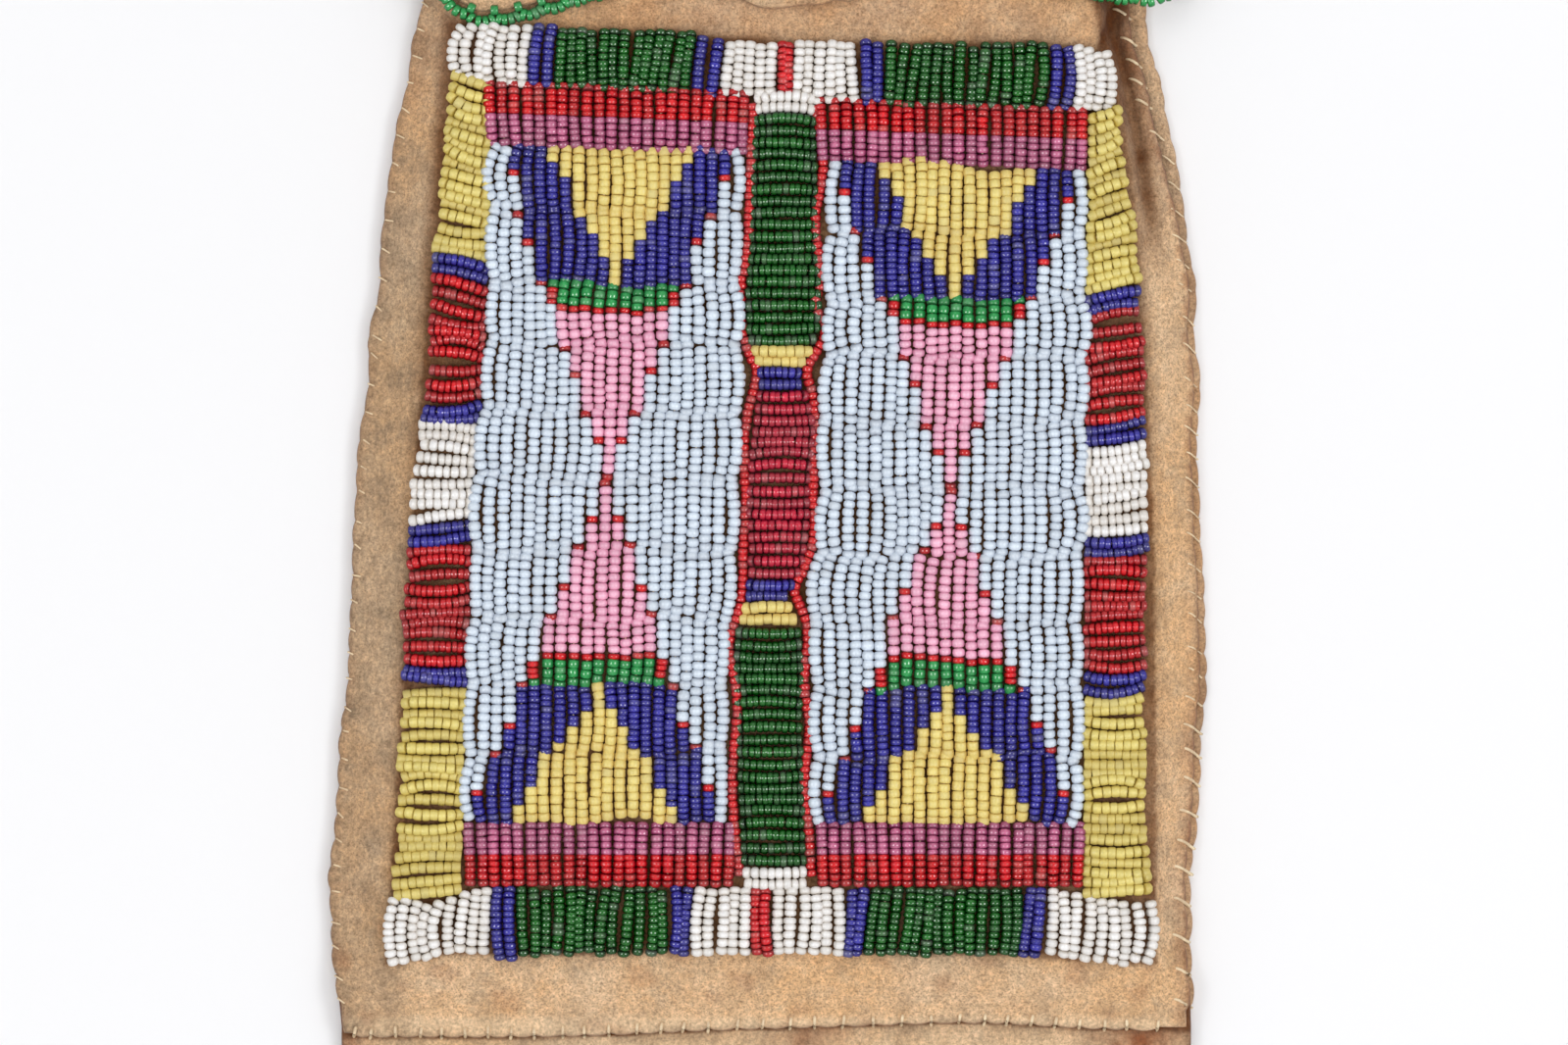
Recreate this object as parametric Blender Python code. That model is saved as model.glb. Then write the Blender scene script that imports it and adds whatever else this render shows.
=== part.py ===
"""Beaded hide document bag, lying on its back with its flap closed over the top of the front.

X runs to the right across the bag, Y up along it towards the fold, and Z up out of the beadwork.
The origin is on the table, under the middle of the bag. Heights named h are measured along Y from
the bottom seam.
"""

import math

import bmesh
import bpy
import numpy as np

MM = 0.001

# Hide
HIDE = 1.2 * MM
TOUCH = 0.3 * MM
POCKET_HEIGHT = 5.5 * MM
MOUTH_TO_FOLD = 15.0 * MM
BAND_LENGTH = 25.0 * MM
BAND_TUCK = 6.0 * MM
BAND_FALL_FROM = 2.0 * MM
BAND_FALL = 8.0 * MM
BAND_INSET = 0.6 * MM
BAND_TAPER = 1.5 * MM
EDGE_ROLL = 0.13
FOOT_ROLL = 11.0 * MM
FOLD_RADIUS = 5.0 * MM
HINGE_HEIGHT = 5.2 * MM

# Side edges of the bag as (height above the bottom seam, place across)
LEFT_EDGE = [(-25.0, -74.3), (0.0, -74.3), (15.0, -75.8), (44.0, -74.3), (90.0, -71.4), (132.0, -67.5),
             (153.0, -64.9), (175.0, -60.7), (243.0, -56.8)]
RIGHT_EDGE = [(-25.0, 74.1), (0.0, 74.1), (15.0, 73.6), (46.0, 75.6), (97.0, 75.2), (122.0, 74.5),
              (146.0, 71.9), (178.0, 65.3), (243.0, 62.2)]

# Fold of the front hide beside the top of the right seam
PLEAT = [(128.0, 67.0), (145.0, 65.5), (165.0, 62.0), (178.0, 59.3), (243.0, 57.0)]
PLEAT_DEPTH = 1.6 * MM
PLEAT_WIDTH = 2.2 * MM
PLEAT_FADE = 25.0 * MM

# Flap, whose lobes are (place across, height above the beadwork)
BEADS_TO_FOLD = 68.2 * MM
FLAP_REST = 0.4 * MM
FLAP_DROOP = 2.4 * MM
FLAP_DROOP_FROM = 50.0 * MM
FLAP_DROOP_OVER = 22.0 * MM
FLAP_SIDE_LOW = 7.9 * MM
FLAP_LOW_LEFT = -59.5 * MM
FLAP_LOW_RIGHT = 73.1 * MM
FLAP_LOBES = [(-59.5, 8.7), (-49.6, 2.1), (-21.8, 7.7), (5.1, 2.5), (33.7, 8.2), (66.0, 4.4), (73.1, 9.2)]
FLAP_NOTCH_LEFT = -21.8 * MM
FLAP_NOTCH_RIGHT = 33.7 * MM
EDGE_BEAD_RADIUS = 0.8 * MM
EDGE_BEAD_STEPS = 10

# Beads: strings lie side by side in lanes, and each string is one ridge
RIDGE_HEIGHT = 1.8 * MM
RIDGE_VALLEY = 0.8 * MM
FIELD_GAP = 0.15 * MM
LINE_RADIUS = 0.95 * MM
FLAT_ANGLE = math.radians(0.5)

# Two main panels, each of ten lanes of twenty-one strings of eight beads. Their top slopes down to the right
LANES = 10
ROWS = 8
STRING_REACH = 10
STEP_ROWS = 3
TRIANGLE_FULL = 4
TRIANGLE_REACH = 7
TRIANGLE_SLOPE = 2
BAR_ROWS = 3
BAR_REACH = 4
BAR_STEP_REACH = 6
PANEL_FOOT = 36.0 * MM
PANEL_HEIGHT = 117.3 * MM
PANEL_SLOPE = 0.038
LEFT_PANEL_OUTER = -52.5 * MM
LEFT_LINE_FOOT = -6.0 * MM
LEFT_LEAN = 0.031
RIGHT_PANEL_OUTER = 54.8 * MM
RIGHT_LINE_FOOT = 7.6 * MM
RIGHT_LEAN = 0.008

# Red and purple bands over and under the panels
BAND_STRINGS = 22
BAND_HEIGHT = 11.3 * MM

# Border lanes round the beadwork
TOP_LANE_HEIGHT = 9.9 * MM
BOTTOM_LANE_HEIGHT = 13.4 * MM
TOP_LANE_LEFT = -54.4 * MM
TOP_LANE_RIGHT = 59.7 * MM
BOTTOM_LANE_LEFT = -65.8 * MM
BOTTOM_LANE_RIGHT = 67.3 * MM
LEFT_BORDER_FOOT = -64.8 * MM
LEFT_BORDER_TOP = -54.6 * MM
RIGHT_BORDER_FOOT = 66.5 * MM
RIGHT_BORDER_TOP = 61.0 * MM

# Colours of each border lane and of the centre lane, as (colour, strings) from the left or the foot
TOP_LANE = [("white", 7), ("navy", 2), ("green", 13), ("navy", 2), ("white", 4), ("red", 2), ("white", 6),
            ("navy", 2), ("green", 12), ("navy", 2), ("white", 3)]
BOTTOM_LANE = [("white", 9), ("navy", 2), ("green", 13), ("navy", 2), ("white", 5), ("red", 2), ("white", 6),
               ("navy", 2), ("green", 13), ("navy", 2), ("white", 9)]
SIDE_LANE = [("yellow", 16), ("navy", 2), ("red", 10), ("navy", 2), ("white", 9), ("navy", 2), ("red", 10),
             ("navy", 2), ("yellow", 15)]
CENTRE_LANE = [("white", 2, "foot_white"), ("green", 17, "lower_green"), ("yellow", 2, "lower_yellow"),
               ("navy", 2, "lower_navy"), ("dark_red", 14, "dark_red"), ("navy", 2, "upper_navy"),
               ("yellow", 2, "upper_yellow"), ("green", 17, "upper_green"), ("white", 2, "head_white")]

# Surface colour, roughness
FINISHES = {
    "hide": ((0.58, 0.37, 0.19), 0.9),
    "white": ((0.83, 0.80, 0.77), 0.35),
    "light_blue": ((0.60, 0.69, 0.78), 0.4),
    "navy": ((0.03, 0.03, 0.24), 0.25),
    "yellow": ((0.66, 0.56, 0.12), 0.4),
    "pale_yellow": ((0.80, 0.65, 0.20), 0.4),
    "green": ((0.02, 0.13, 0.03), 0.15),
    "leaf_green": ((0.03, 0.30, 0.09), 0.3),
    "pink": ((0.80, 0.36, 0.48), 0.4),
    "red": ((0.60, 0.02, 0.03), 0.2),
    "dark_red": ((0.26, 0.02, 0.04), 0.2),
    "purple": ((0.30, 0.08, 0.22), 0.25),
}

BEADWORK_TOP = PANEL_FOOT + PANEL_HEIGHT + BAND_HEIGHT + TOUCH + TOP_LANE_HEIGHT
SEAM_TO_FOLD = BEADWORK_TOP + BEADS_TO_FOLD
SEAM_TO_MOUTH = SEAM_TO_FOLD - MOUTH_TO_FOLD
ORIGIN_ABOVE_SEAM = (SEAM_TO_FOLD - BAND_LENGTH) / 2
FRONT_TOP = HIDE + POCKET_HEIGHT + HIDE
SIDE_EDGE_TOP = HIDE + TOUCH + HIDE
FOOT_EDGE_TOP = SIDE_EDGE_TOP + TOUCH + HIDE
BEAD_BASE = FRONT_TOP + TOUCH


def along(points, h):
    """Place across at height h, on a smooth curve through (height, place) pairs given in millimetres."""
    heights = np.array([p[0] for p in points]) * MM
    places = np.array([p[1] for p in points]) * MM
    slopes = np.gradient(places, heights)
    i = int(np.clip(np.searchsorted(heights, h) - 1, 0, len(points) - 2))
    span = heights[i + 1] - heights[i]
    t = float(np.clip((h - heights[i]) / span, 0.0, 1.0))
    start = (2 * t ** 3 - 3 * t ** 2 + 1) * places[i] + (t ** 3 - 2 * t ** 2 + t) * span * slopes[i]
    end = (3 * t ** 2 - 2 * t ** 3) * places[i + 1] + (t ** 3 - t ** 2) * span * slopes[i + 1]
    return start + end


def ease(t):
    """Smooth rise from 0 to 1 as t goes from 0 to 1."""
    t = min(max(t, 0.0), 1.0)
    return t * t * (3 - 2 * t)


def world_y(h):
    """Y of a height above the bottom seam."""
    return h - ORIGIN_ABOVE_SEAM


def edge_top(h):
    """Top of the front hide at its side edge: on the back hide, and on the band near the foot."""
    over_band = 1 - ease((h - BAND_TUCK - 1 * MM) / (6 * MM))
    return SIDE_EDGE_TOP + (FOOT_EDGE_TOP - SIDE_EDGE_TOP) * over_band


def front_surface(across, h):
    """Point on top of the front hide: flat under the beadwork and rolled down to its seams."""
    left = along(LEFT_EDGE, h)
    right = along(RIGHT_EDGE, h)
    x = left + (right - left) * (across + 1) / 2
    rise = ease((1 - abs(across)) / EDGE_ROLL) * ease(h / FOOT_ROLL)
    low = edge_top(h)
    pleat_side = (x - along(PLEAT, h)) / PLEAT_WIDTH
    pleat_start = PLEAT[0][0] * MM
    pleat = PLEAT_DEPTH * math.exp(-pleat_side ** 2) * ease((h - pleat_start) / PLEAT_FADE)
    z = low + (FRONT_TOP - low) * rise
    return x, world_y(h), max(z - pleat, low)


def new_material(name):
    """Principled material with one of the named finishes."""
    colour, roughness = FINISHES[name]
    material = bpy.data.materials.new(name)
    material.use_nodes = True
    shader = material.node_tree.nodes["Principled BSDF"]
    shader.inputs["Base Color"].default_value = (*colour, 1.0)
    shader.inputs["Roughness"].default_value = roughness
    shader.inputs["Metallic"].default_value = 0.0
    return material


def add_object(name, data, finishes):
    """Put mesh or curve data in the bag's collection under the name, with its materials."""
    for material in finishes:
        data.materials.append(material)
    obj = bpy.data.objects.new(name, data)
    bag.objects.link(obj)


def add_solid(name, bm, finishes):
    """Put a closed shape in the collection with its faces turned out."""
    if bm.calc_volume(signed=True) < 0:
        bmesh.ops.reverse_faces(bm, faces=bm.faces[:])
    mesh = bpy.data.meshes.new(name)
    bm.to_mesh(mesh)
    bm.free()
    add_object(name, mesh, finishes)


def hide_sheet(name, columns, rows, outer, inner):
    """Sheet of hide on a grid, with one face at outer(column, row) and the other at inner(column, row)."""
    bm = bmesh.new()
    bmesh.ops.create_grid(bm, x_segments=len(columns) - 1, y_segments=len(rows) - 1, size=1.0)
    extruded = bmesh.ops.extrude_face_region(bm, geom=bm.faces[:])
    inner_verts = {v for v in extruded["geom"] if isinstance(v, bmesh.types.BMVert)}
    for vert in bm.verts:
        column = columns[round((vert.co.x + 1) / 2 * (len(columns) - 1))]
        row = rows[round((vert.co.y + 1) / 2 * (len(rows) - 1))]
        face = inner if vert in inner_verts else outer
        vert.co = face(column, row)
    add_solid(name, bm, [materials["hide"]])


def front_panel():
    """Front hide, from the bottom seam to the mouth."""
    roll = [EDGE_ROLL * share for share in (0.0, 0.25, 0.5, 0.75, 1.0)]
    side = [1 - r for r in roll]
    columns = [-s for s in side] + [-0.5, 0.0, 0.5] + side[::-1]
    foot = [FOOT_ROLL * share for share in (0.0, 0.25, 0.5, 0.75, 1.0)]
    above = FOOT_ROLL + 4 * MM
    rows = foot + list(np.linspace(above, SEAM_TO_MOUTH, 14))

    def under(across, h):
        x, y, z = front_surface(across, h)
        return x, y, z - HIDE

    hide_sheet("front_panel", columns, rows, front_surface, under)


def back_panel():
    """Back hide, flat on the table and turned up at the fold to the flap's seam."""
    flat = list(np.linspace(0.0, SEAM_TO_FOLD - FOLD_RADIUS, 12))
    turns = [math.radians(a) for a in (22.5, 45.0, 67.5, 90.0)]
    rows = [(h, 0.0) for h in flat] + [(SEAM_TO_FOLD - FOLD_RADIUS, a) for a in turns]
    top = HINGE_HEIGHT - TOUCH / 2

    def face(across, row, inset):
        h, angle = row
        y = world_y(h) + (FOLD_RADIUS - inset) * math.sin(angle)
        left = along(LEFT_EDGE, h)
        right = along(RIGHT_EDGE, h)
        x = left + (right - left) * (across + 1) / 2
        return x, y, inset + (top - inset) * (1 - math.cos(angle))

    hide_sheet("back_panel", [-1.0, -0.5, 0.0, 0.5, 1.0], rows, lambda u, row: face(u, row, 0.0),
               lambda u, row: face(u, row, HIDE))


def flap_side(h, left):
    """Side edge of the flap at height h, from the fold down to the lobes."""
    edge = LEFT_EDGE if left else RIGHT_EDGE
    low = FLAP_LOW_LEFT if left else FLAP_LOW_RIGHT
    top = along(edge, SEAM_TO_FOLD)
    side_low = BEADWORK_TOP + FLAP_SIDE_LOW
    share = (h - side_low) / (SEAM_TO_FOLD - side_low)
    return low + (top - low) * min(max(share, 0.0), 1.0)


def flap_foot(x):
    """Height of the flap's lobed lower edge at x."""
    lobes = FLAP_LOBES
    for (x0, h0), (x1, h1) in zip(lobes, lobes[1:]):
        if x <= x1 * MM:
            return BEADWORK_TOP + (h0 + (h1 - h0) * ease((x / MM - x0) / (x1 - x0))) * MM
    return BEADWORK_TOP + lobes[-1][1] * MM


def flap_top(x):
    """Height above the table of the flap's outer face, resting on the front and drooping at its sides."""
    droop = FLAP_DROOP * ease((abs(x) - FLAP_DROOP_FROM) / FLAP_DROOP_OVER)
    return FRONT_TOP + FLAP_REST + HIDE - droop


def flap_panel():
    """Flap, sewn to the back hide at the fold and lying over the front."""
    turns = [math.radians(a) for a in (0.0, 22.5, 45.0, 67.5, 90.0)]
    rows = [(a, 0.0) for a in turns] + [(turns[-1], share) for share in (0.3, 0.6, 0.85, 1.0)]
    base = HINGE_HEIGHT + TOUCH / 2
    ends = (FLAP_LOW_LEFT / MM, FLAP_LOW_RIGHT / MM)
    columns = np.linspace(0.0, 1.0, 33)

    def face(across, row, inset):
        angle, share = row
        low_x = (ends[0] + (ends[1] - ends[0]) * across) * MM
        start = SEAM_TO_FOLD - FOLD_RADIUS
        h = start + (flap_foot(low_x) - start) * share
        left = flap_side(h, True)
        right = flap_side(h, False)
        x = left + (right - left) * across
        y = world_y(h) + (FOLD_RADIUS - inset) * math.cos(angle)
        return x, y, base + (flap_top(x) - inset - base) * math.sin(angle)

    hide_sheet("flap", list(columns), rows, lambda u, row: face(u, row, 0.0),
               lambda u, row: face(u, row, HIDE))


def bottom_band():
    """Strip of hide sewn under the foot of the front, its top tucked in between front and back."""
    fall = [-BAND_FALL_FROM - BAND_FALL * share for share in (0.0, 1 / 3, 2 / 3, 1.0)]
    rows = [BAND_TUCK, 0.0, *fall, -BAND_LENGTH]

    def face(across, h, lift):
        taper = BAND_TAPER * ease(-h / BAND_LENGTH)
        left = along(LEFT_EDGE, max(h, 0.0)) + BAND_INSET + taper
        right = along(RIGHT_EDGE, max(h, 0.0)) - BAND_INSET - taper
        x = left + (right - left) * (across + 1) / 2
        tucked = HIDE + TOUCH
        z = tucked * (1 - ease((-BAND_FALL_FROM - h) / BAND_FALL))
        return x, world_y(h), z + lift

    hide_sheet("bottom_band", [-1.0, -0.33, 0.33, 1.0], rows, lambda u, h: face(u, h, HIDE),
               lambda u, h: face(u, h, 0.0))


def cord(name, route, radius, material):
    """Round cord along a route, as one curve with closed ends."""
    curve = bpy.data.curves.new(name, "CURVE")
    curve.dimensions = "3D"
    curve.bevel_depth = radius
    curve.bevel_resolution = 1
    curve.use_fill_caps = True
    spline = curve.splines.new("POLY")
    spline.points.add(len(route) - 1)
    for point, place in zip(spline.points, route):
        point.co = (*place, 1.0)
    add_object(name, curve, [material])


def flap_edging(name, notch, side):
    """Beaded edge of the flap, from the fold down one side and along its lobe to the notch."""
    out = 2 * TOUCH + EDGE_BEAD_RADIUS
    low = FLAP_LOW_LEFT if side < 0 else FLAP_LOW_RIGHT
    outline = []
    for share in np.linspace(0.0, 1.0, EDGE_BEAD_STEPS, endpoint=False):
        h = SEAM_TO_FOLD - FOLD_RADIUS + (flap_foot(low) - SEAM_TO_FOLD + FOLD_RADIUS) * share
        outline.append((flap_side(h, side < 0), h))
    for share in np.linspace(0.0, 1.0, 2 * EDGE_BEAD_STEPS):
        x = low + (notch - low) * share
        outline.append((x, flap_foot(x)))
    outline = np.array(outline)
    step = np.gradient(outline, axis=0)
    normal = np.stack([step[:, 1], -step[:, 0]], axis=1) * -side
    normal /= np.linalg.norm(normal, axis=1)[:, None]
    route = []
    for (x, h), (nx, nh) in zip(outline, normal):
        route.append((x + nx * out, world_y(h + nh * out), flap_top(x) - HIDE / 2))
    cord(name, route, EDGE_BEAD_RADIUS, materials["leaf_green"])


class BeadField:
    """Strings of beads side by side, as one solid with a ridge for every string.

    A cell is (string, row). Upright strings are counted from the left and level ones from the foot.
    The field is drawn in all round by half the gap between two fields.
    """

    def __init__(self, cells, level=False):
        self.cells = cells
        self.level = level

    def held(self, string, row):
        """1 where the cell belongs to the field, else 0."""
        return int((string, row) in self.cells)

    def inset(self, half, row):
        """Step in X and Y that draws the outline in at a corner, half strings and rows from the first."""
        string = half // 2
        across = 0
        onward = self.held(string, row) - self.held(string, row - 1)
        if half % 2 == 0:
            right = self.held(string, row) + self.held(string, row - 1)
            left = self.held(string - 1, row) + self.held(string - 1, row - 1)
            across = right - left
            onward += self.held(string - 1, row) - self.held(string - 1, row - 1)
        return np.sign([onward, across] if self.level else [across, onward]) * FIELD_GAP

    def sides(self, string, row):
        """Half strings of a cell, each with its corners in turn and the cells beyond its four sides."""
        for half in (2 * string, 2 * string + 1):
            corners = [(half, row), (half + 1, row), (half + 1, row + 1), (half, row + 1)]
            left = string - 1 if half == 2 * string else string
            right = string if half == 2 * string else string + 1
            yield corners, [(string, row - 1), (right, row), (string, row + 1), (left, row)]

    def build(self, name, colours, place):
        """Build the field.

        colours holds one colour, or one for each string. place(across, row, z) gives the point for a
        place counted in strings and in rows.
        """
        bm = bmesh.new()
        made = {}

        def vert(corner, top):
            if (corner, top) not in made:
                half, row = corner
                ridge = RIDGE_HEIGHT if half % 2 else RIDGE_VALLEY
                x, y, z = place(half / 2, row, BEAD_BASE + (ridge if top else 0.0))
                in_x, in_y = self.inset(half, row)
                made[corner, top] = bm.verts.new((x + in_x, y + in_y, z))
            return made[corner, top]

        slots = list(dict.fromkeys(colours))
        for string, row in sorted(self.cells):
            colour = colours[string] if len(colours) > 1 else colours[0]
            for corners, beyond in self.sides(string, row):
                faces = [[vert(c, True) for c in corners], [vert(c, False) for c in reversed(corners)]]
                for i, cell in enumerate(beyond):
                    if cell not in self.cells:
                        a, b = corners[i], corners[(i + 1) % 4]
                        faces.append([vert(a, False), vert(b, False), vert(b, True), vert(a, True)])
                for face in faces:
                    bm.faces.new(face).material_index = slots.index(colour)
        bm.normal_update()
        bmesh.ops.dissolve_limit(bm, angle_limit=FLAT_ANGLE, verts=bm.verts[:], edges=bm.edges[:],
                                 delimit={"MATERIAL"})
        add_solid(name, bm, [materials[slot] for slot in slots])


def stair(step):
    """Rows down to a step's edge: the steps are 3 and 5 rows high by turns."""
    return ROWS * (step // 2) + STEP_ROWS * (step % 2)


def panel_colour(offset, row):
    """Colour of a bead in a main panel.

    offset counts strings from the panel's middle, and row counts beads from the panel's nearer end
    to its middle: a yellow triangle in navy, a green bar over a red row, and a pink wedge. The single
    red beads at the steps' corners belong to the light blue here.
    """
    bar_row = row - 2 * ROWS
    if bar_row < 0:
        if offset == 0:
            yellow = 2 * ROWS
        elif offset < TRIANGLE_FULL:
            yellow = ROWS + 1 + TRIANGLE_SLOPE * (TRIANGLE_FULL - 1 - offset)
        elif offset == TRIANGLE_FULL:
            yellow = ROWS
        else:
            yellow = max(0, TRIANGLE_SLOPE * (TRIANGLE_REACH - offset))
        if row < yellow:
            return "yellow"
        return "navy" if row < stair(STRING_REACH - offset) else "light_blue"
    if offset <= BAR_REACH and bar_row <= BAR_ROWS:
        return "leaf_green" if bar_row < BAR_ROWS else "red"
    if offset <= BAR_STEP_REACH and bar_row == 0:
        return "leaf_green"
    pink = stair(BAR_STEP_REACH - offset) if offset <= BAR_REACH else 0
    return "pink" if bar_row < pink else "light_blue"


def panel_cells():
    """Cells of each colour field in a main panel, by the field's name and colour."""
    fields = {}
    rows = LANES * ROWS
    for string in range(2 * STRING_REACH + 1):
        half = "left" if string < STRING_REACH else "right"
        for row in range(rows):
            colour = panel_colour(abs(string - STRING_REACH), min(row, rows - 1 - row))
            end = "lower" if row < rows / 2 else "upper"
            names = {"light_blue": f"light_blue_{half}", "pink": "pink", "navy": f"{end}_navy_{half}"}
            name = names.get(colour, f"{end}_{colour}")
            fields.setdefault((name, colour), set()).add((string, row))
    return fields


def panel_top(x):
    """Height of the top of the main panels at x."""
    return PANEL_FOOT + PANEL_HEIGHT - PANEL_SLOPE * (x - LEFT_PANEL_OUTER)


def panel_frame(side):
    """Outer edge and line-side edge of a main panel at its foot, and its lean; side is -1 at the left."""
    clear = LINE_RADIUS + TOUCH - FIELD_GAP
    if side < 0:
        return LEFT_PANEL_OUTER, LEFT_LINE_FOOT - clear, LEFT_LEAN
    return RIGHT_LINE_FOOT + clear, RIGHT_PANEL_OUTER, RIGHT_LEAN


def leaning(x_foot, lean, h):
    """Place across, at height h, of a string that starts at x_foot at the panels' foot."""
    return x_foot + lean * (h - PANEL_FOOT)


def main_panel(name, side):
    """Colour fields of one main panel."""
    left, right, lean = panel_frame(side)
    strings = 2 * STRING_REACH + 1
    rows = LANES * ROWS

    def place(across, row, z):
        foot_x = left + (right - left) * across / strings
        h = PANEL_FOOT + (panel_top(foot_x) - PANEL_FOOT) * row / rows
        return leaning(foot_x, lean, h), world_y(h), z

    for (field, colour), cells in panel_cells().items():
        finish = "pale_yellow" if colour == "yellow" else colour
        BeadField(cells).build(f"{name}_{field}", [finish], place)


def bands(name, side):
    """Red and purple bands over and under a main panel, with the red away from the panel."""
    left, right, lean = panel_frame(side)
    halves = {"lower": range(ROWS // 2), "upper": range(ROWS // 2, ROWS)}
    for end, lower, upper in (("top", "purple", "red"), ("bottom", "red", "purple")):
        def place(across, row, z, end=end):
            foot_x = left + (right - left) * across / BAND_STRINGS
            low = panel_top(foot_x) if end == "top" else PANEL_FOOT - BAND_HEIGHT
            h = low + BAND_HEIGHT * row / ROWS
            return leaning(foot_x, lean, h), world_y(h), z

        for half, colour in (("lower", lower), ("upper", upper)):
            cells = {(string, row) for string in range(BAND_STRINGS) for row in halves[half]}
            BeadField(cells).build(f"{name}_{end}_band_{colour}", [colour], place)


def lane_colours(lane):
    """Colour of each string of a lane, one after another."""
    return [part[0] for part in lane for _ in range(part[1])]


def whole_lane(name, lane, place, level):
    """Lane of strings of several colours as one solid."""
    colours = lane_colours(lane)
    cells = {(string, row) for string in range(len(colours)) for row in range(ROWS)}
    BeadField(cells, level).build(name, colours, place)


def top_and_bottom_borders():
    """Border lanes of upright strings over and under the panels and their bands."""
    def top_place(across, row, z):
        width = TOP_LANE_RIGHT - TOP_LANE_LEFT
        x = TOP_LANE_LEFT + width * across / len(lane_colours(TOP_LANE))
        return x, world_y(panel_top(x) + BAND_HEIGHT + TOUCH + TOP_LANE_HEIGHT * row / ROWS), z

    def bottom_place(across, row, z):
        width = BOTTOM_LANE_RIGHT - BOTTOM_LANE_LEFT
        x = BOTTOM_LANE_LEFT + width * across / len(lane_colours(BOTTOM_LANE))
        return x, world_y(PANEL_FOOT - BAND_HEIGHT - BOTTOM_LANE_HEIGHT * (1 - row / ROWS)), z

    whole_lane("top_border", TOP_LANE, top_place, level=False)
    whole_lane("bottom_border", BOTTOM_LANE, bottom_place, level=False)


def side_borders():
    """Border lanes of level strings left and right of the panels."""
    low = PANEL_FOOT - BAND_HEIGHT
    strings = len(lane_colours(SIDE_LANE))
    for name, inner, lean, outer_foot, outer_top in (
            ("left_border", LEFT_PANEL_OUTER, LEFT_LEAN, LEFT_BORDER_FOOT, LEFT_BORDER_TOP),
            ("right_border", RIGHT_PANEL_OUTER, RIGHT_LEAN, RIGHT_BORDER_FOOT, RIGHT_BORDER_TOP)):
        high = panel_top(outer_top) + BAND_HEIGHT

        def place(across, row, z, inner=inner, lean=lean, foot=outer_foot, top=outer_top, high=high):
            h = low + (high - low) * across / strings
            ends = sorted((foot + (top - foot) * across / strings, leaning(inner, lean, h)))
            return ends[0] + (ends[1] - ends[0]) * row / ROWS, world_y(h), z

        whole_lane(name, SIDE_LANE, place, level=True)


def centre_lane():
    """Colour fields of level strings between the two red lines, and the lines themselves."""
    low = PANEL_FOOT - BAND_HEIGHT
    high = panel_top(RIGHT_LINE_FOOT) + BAND_HEIGHT
    strings = len(lane_colours(CENTRE_LANE))
    clear = LINE_RADIUS + TOUCH - FIELD_GAP

    def place(across, row, z):
        h = low + (high - low) * across / strings
        left = leaning(LEFT_LINE_FOOT, LEFT_LEAN, h) + clear
        right = leaning(RIGHT_LINE_FOOT, RIGHT_LEAN, h) - clear
        return left + (right - left) * row / ROWS, world_y(h), z

    first = 0
    for colour, count, field in CENTRE_LANE:
        cells = {(string, row) for string in range(first, first + count) for row in range(ROWS)}
        BeadField(cells, level=True).build(f"centre_lane_{field}", [colour], place)
        first += count

    for name, foot, lean in (("left_red_line", LEFT_LINE_FOOT, LEFT_LEAN),
                             ("right_red_line", RIGHT_LINE_FOOT, RIGHT_LEAN)):
        reach = (low + LINE_RADIUS, high - LINE_RADIUS)
        route = [(leaning(foot, lean, h), world_y(h), BEAD_BASE + LINE_RADIUS) for h in reach]
        cord(name, route, LINE_RADIUS, materials["red"])


for old in list(bpy.data.objects):
    bpy.data.objects.remove(old, do_unlink=True)

bag = bpy.data.collections.new("document_bag")
bpy.context.scene.collection.children.link(bag)
materials = {name: new_material(name) for name in FINISHES}

front_panel()
back_panel()
flap_panel()
bottom_band()
flap_edging("flap_edge_beads_left", FLAP_NOTCH_LEFT, -1)
flap_edging("flap_edge_beads_right", FLAP_NOTCH_RIGHT, 1)
for panel, panel_side in (("left_panel", -1), ("right_panel", 1)):
    main_panel(panel, panel_side)
    bands(panel, panel_side)
top_and_bottom_borders()
side_borders()
centre_lane()
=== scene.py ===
"""Looks of the beaded hide document bag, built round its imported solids.

Sizes are in millimetres unless a name says otherwise. A place on the bag is (x, h): x runs across it, and h
is the height above the bottom seam.
"""

from __future__ import annotations

import logging
import math
from dataclasses import dataclass, fields
from enum import Enum

import bpy
import numpy as np
from numpy.typing import NDArray
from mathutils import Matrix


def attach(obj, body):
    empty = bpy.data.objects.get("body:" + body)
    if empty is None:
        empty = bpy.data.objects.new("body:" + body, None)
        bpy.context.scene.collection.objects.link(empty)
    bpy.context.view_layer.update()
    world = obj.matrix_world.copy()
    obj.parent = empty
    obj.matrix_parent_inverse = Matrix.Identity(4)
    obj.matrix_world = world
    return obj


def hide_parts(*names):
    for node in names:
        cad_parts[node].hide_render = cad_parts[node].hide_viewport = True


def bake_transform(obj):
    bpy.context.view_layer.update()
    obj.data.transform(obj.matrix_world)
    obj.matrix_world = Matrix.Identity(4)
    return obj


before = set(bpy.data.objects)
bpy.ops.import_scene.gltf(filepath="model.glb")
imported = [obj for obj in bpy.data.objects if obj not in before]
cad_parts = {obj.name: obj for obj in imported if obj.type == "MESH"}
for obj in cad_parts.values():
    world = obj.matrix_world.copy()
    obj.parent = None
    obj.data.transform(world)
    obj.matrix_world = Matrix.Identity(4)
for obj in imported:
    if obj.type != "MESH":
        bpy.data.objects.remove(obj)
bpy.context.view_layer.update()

Array = NDArray[np.float64]
Faces = NDArray[np.int64]
Table = tuple[tuple[float, float], ...]
Runs = tuple[tuple[str, int, float, float], ...]
Colour = tuple[float, float, float]
Socket = bpy.types.NodeSocket
Tree = bpy.types.NodeTree
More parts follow.
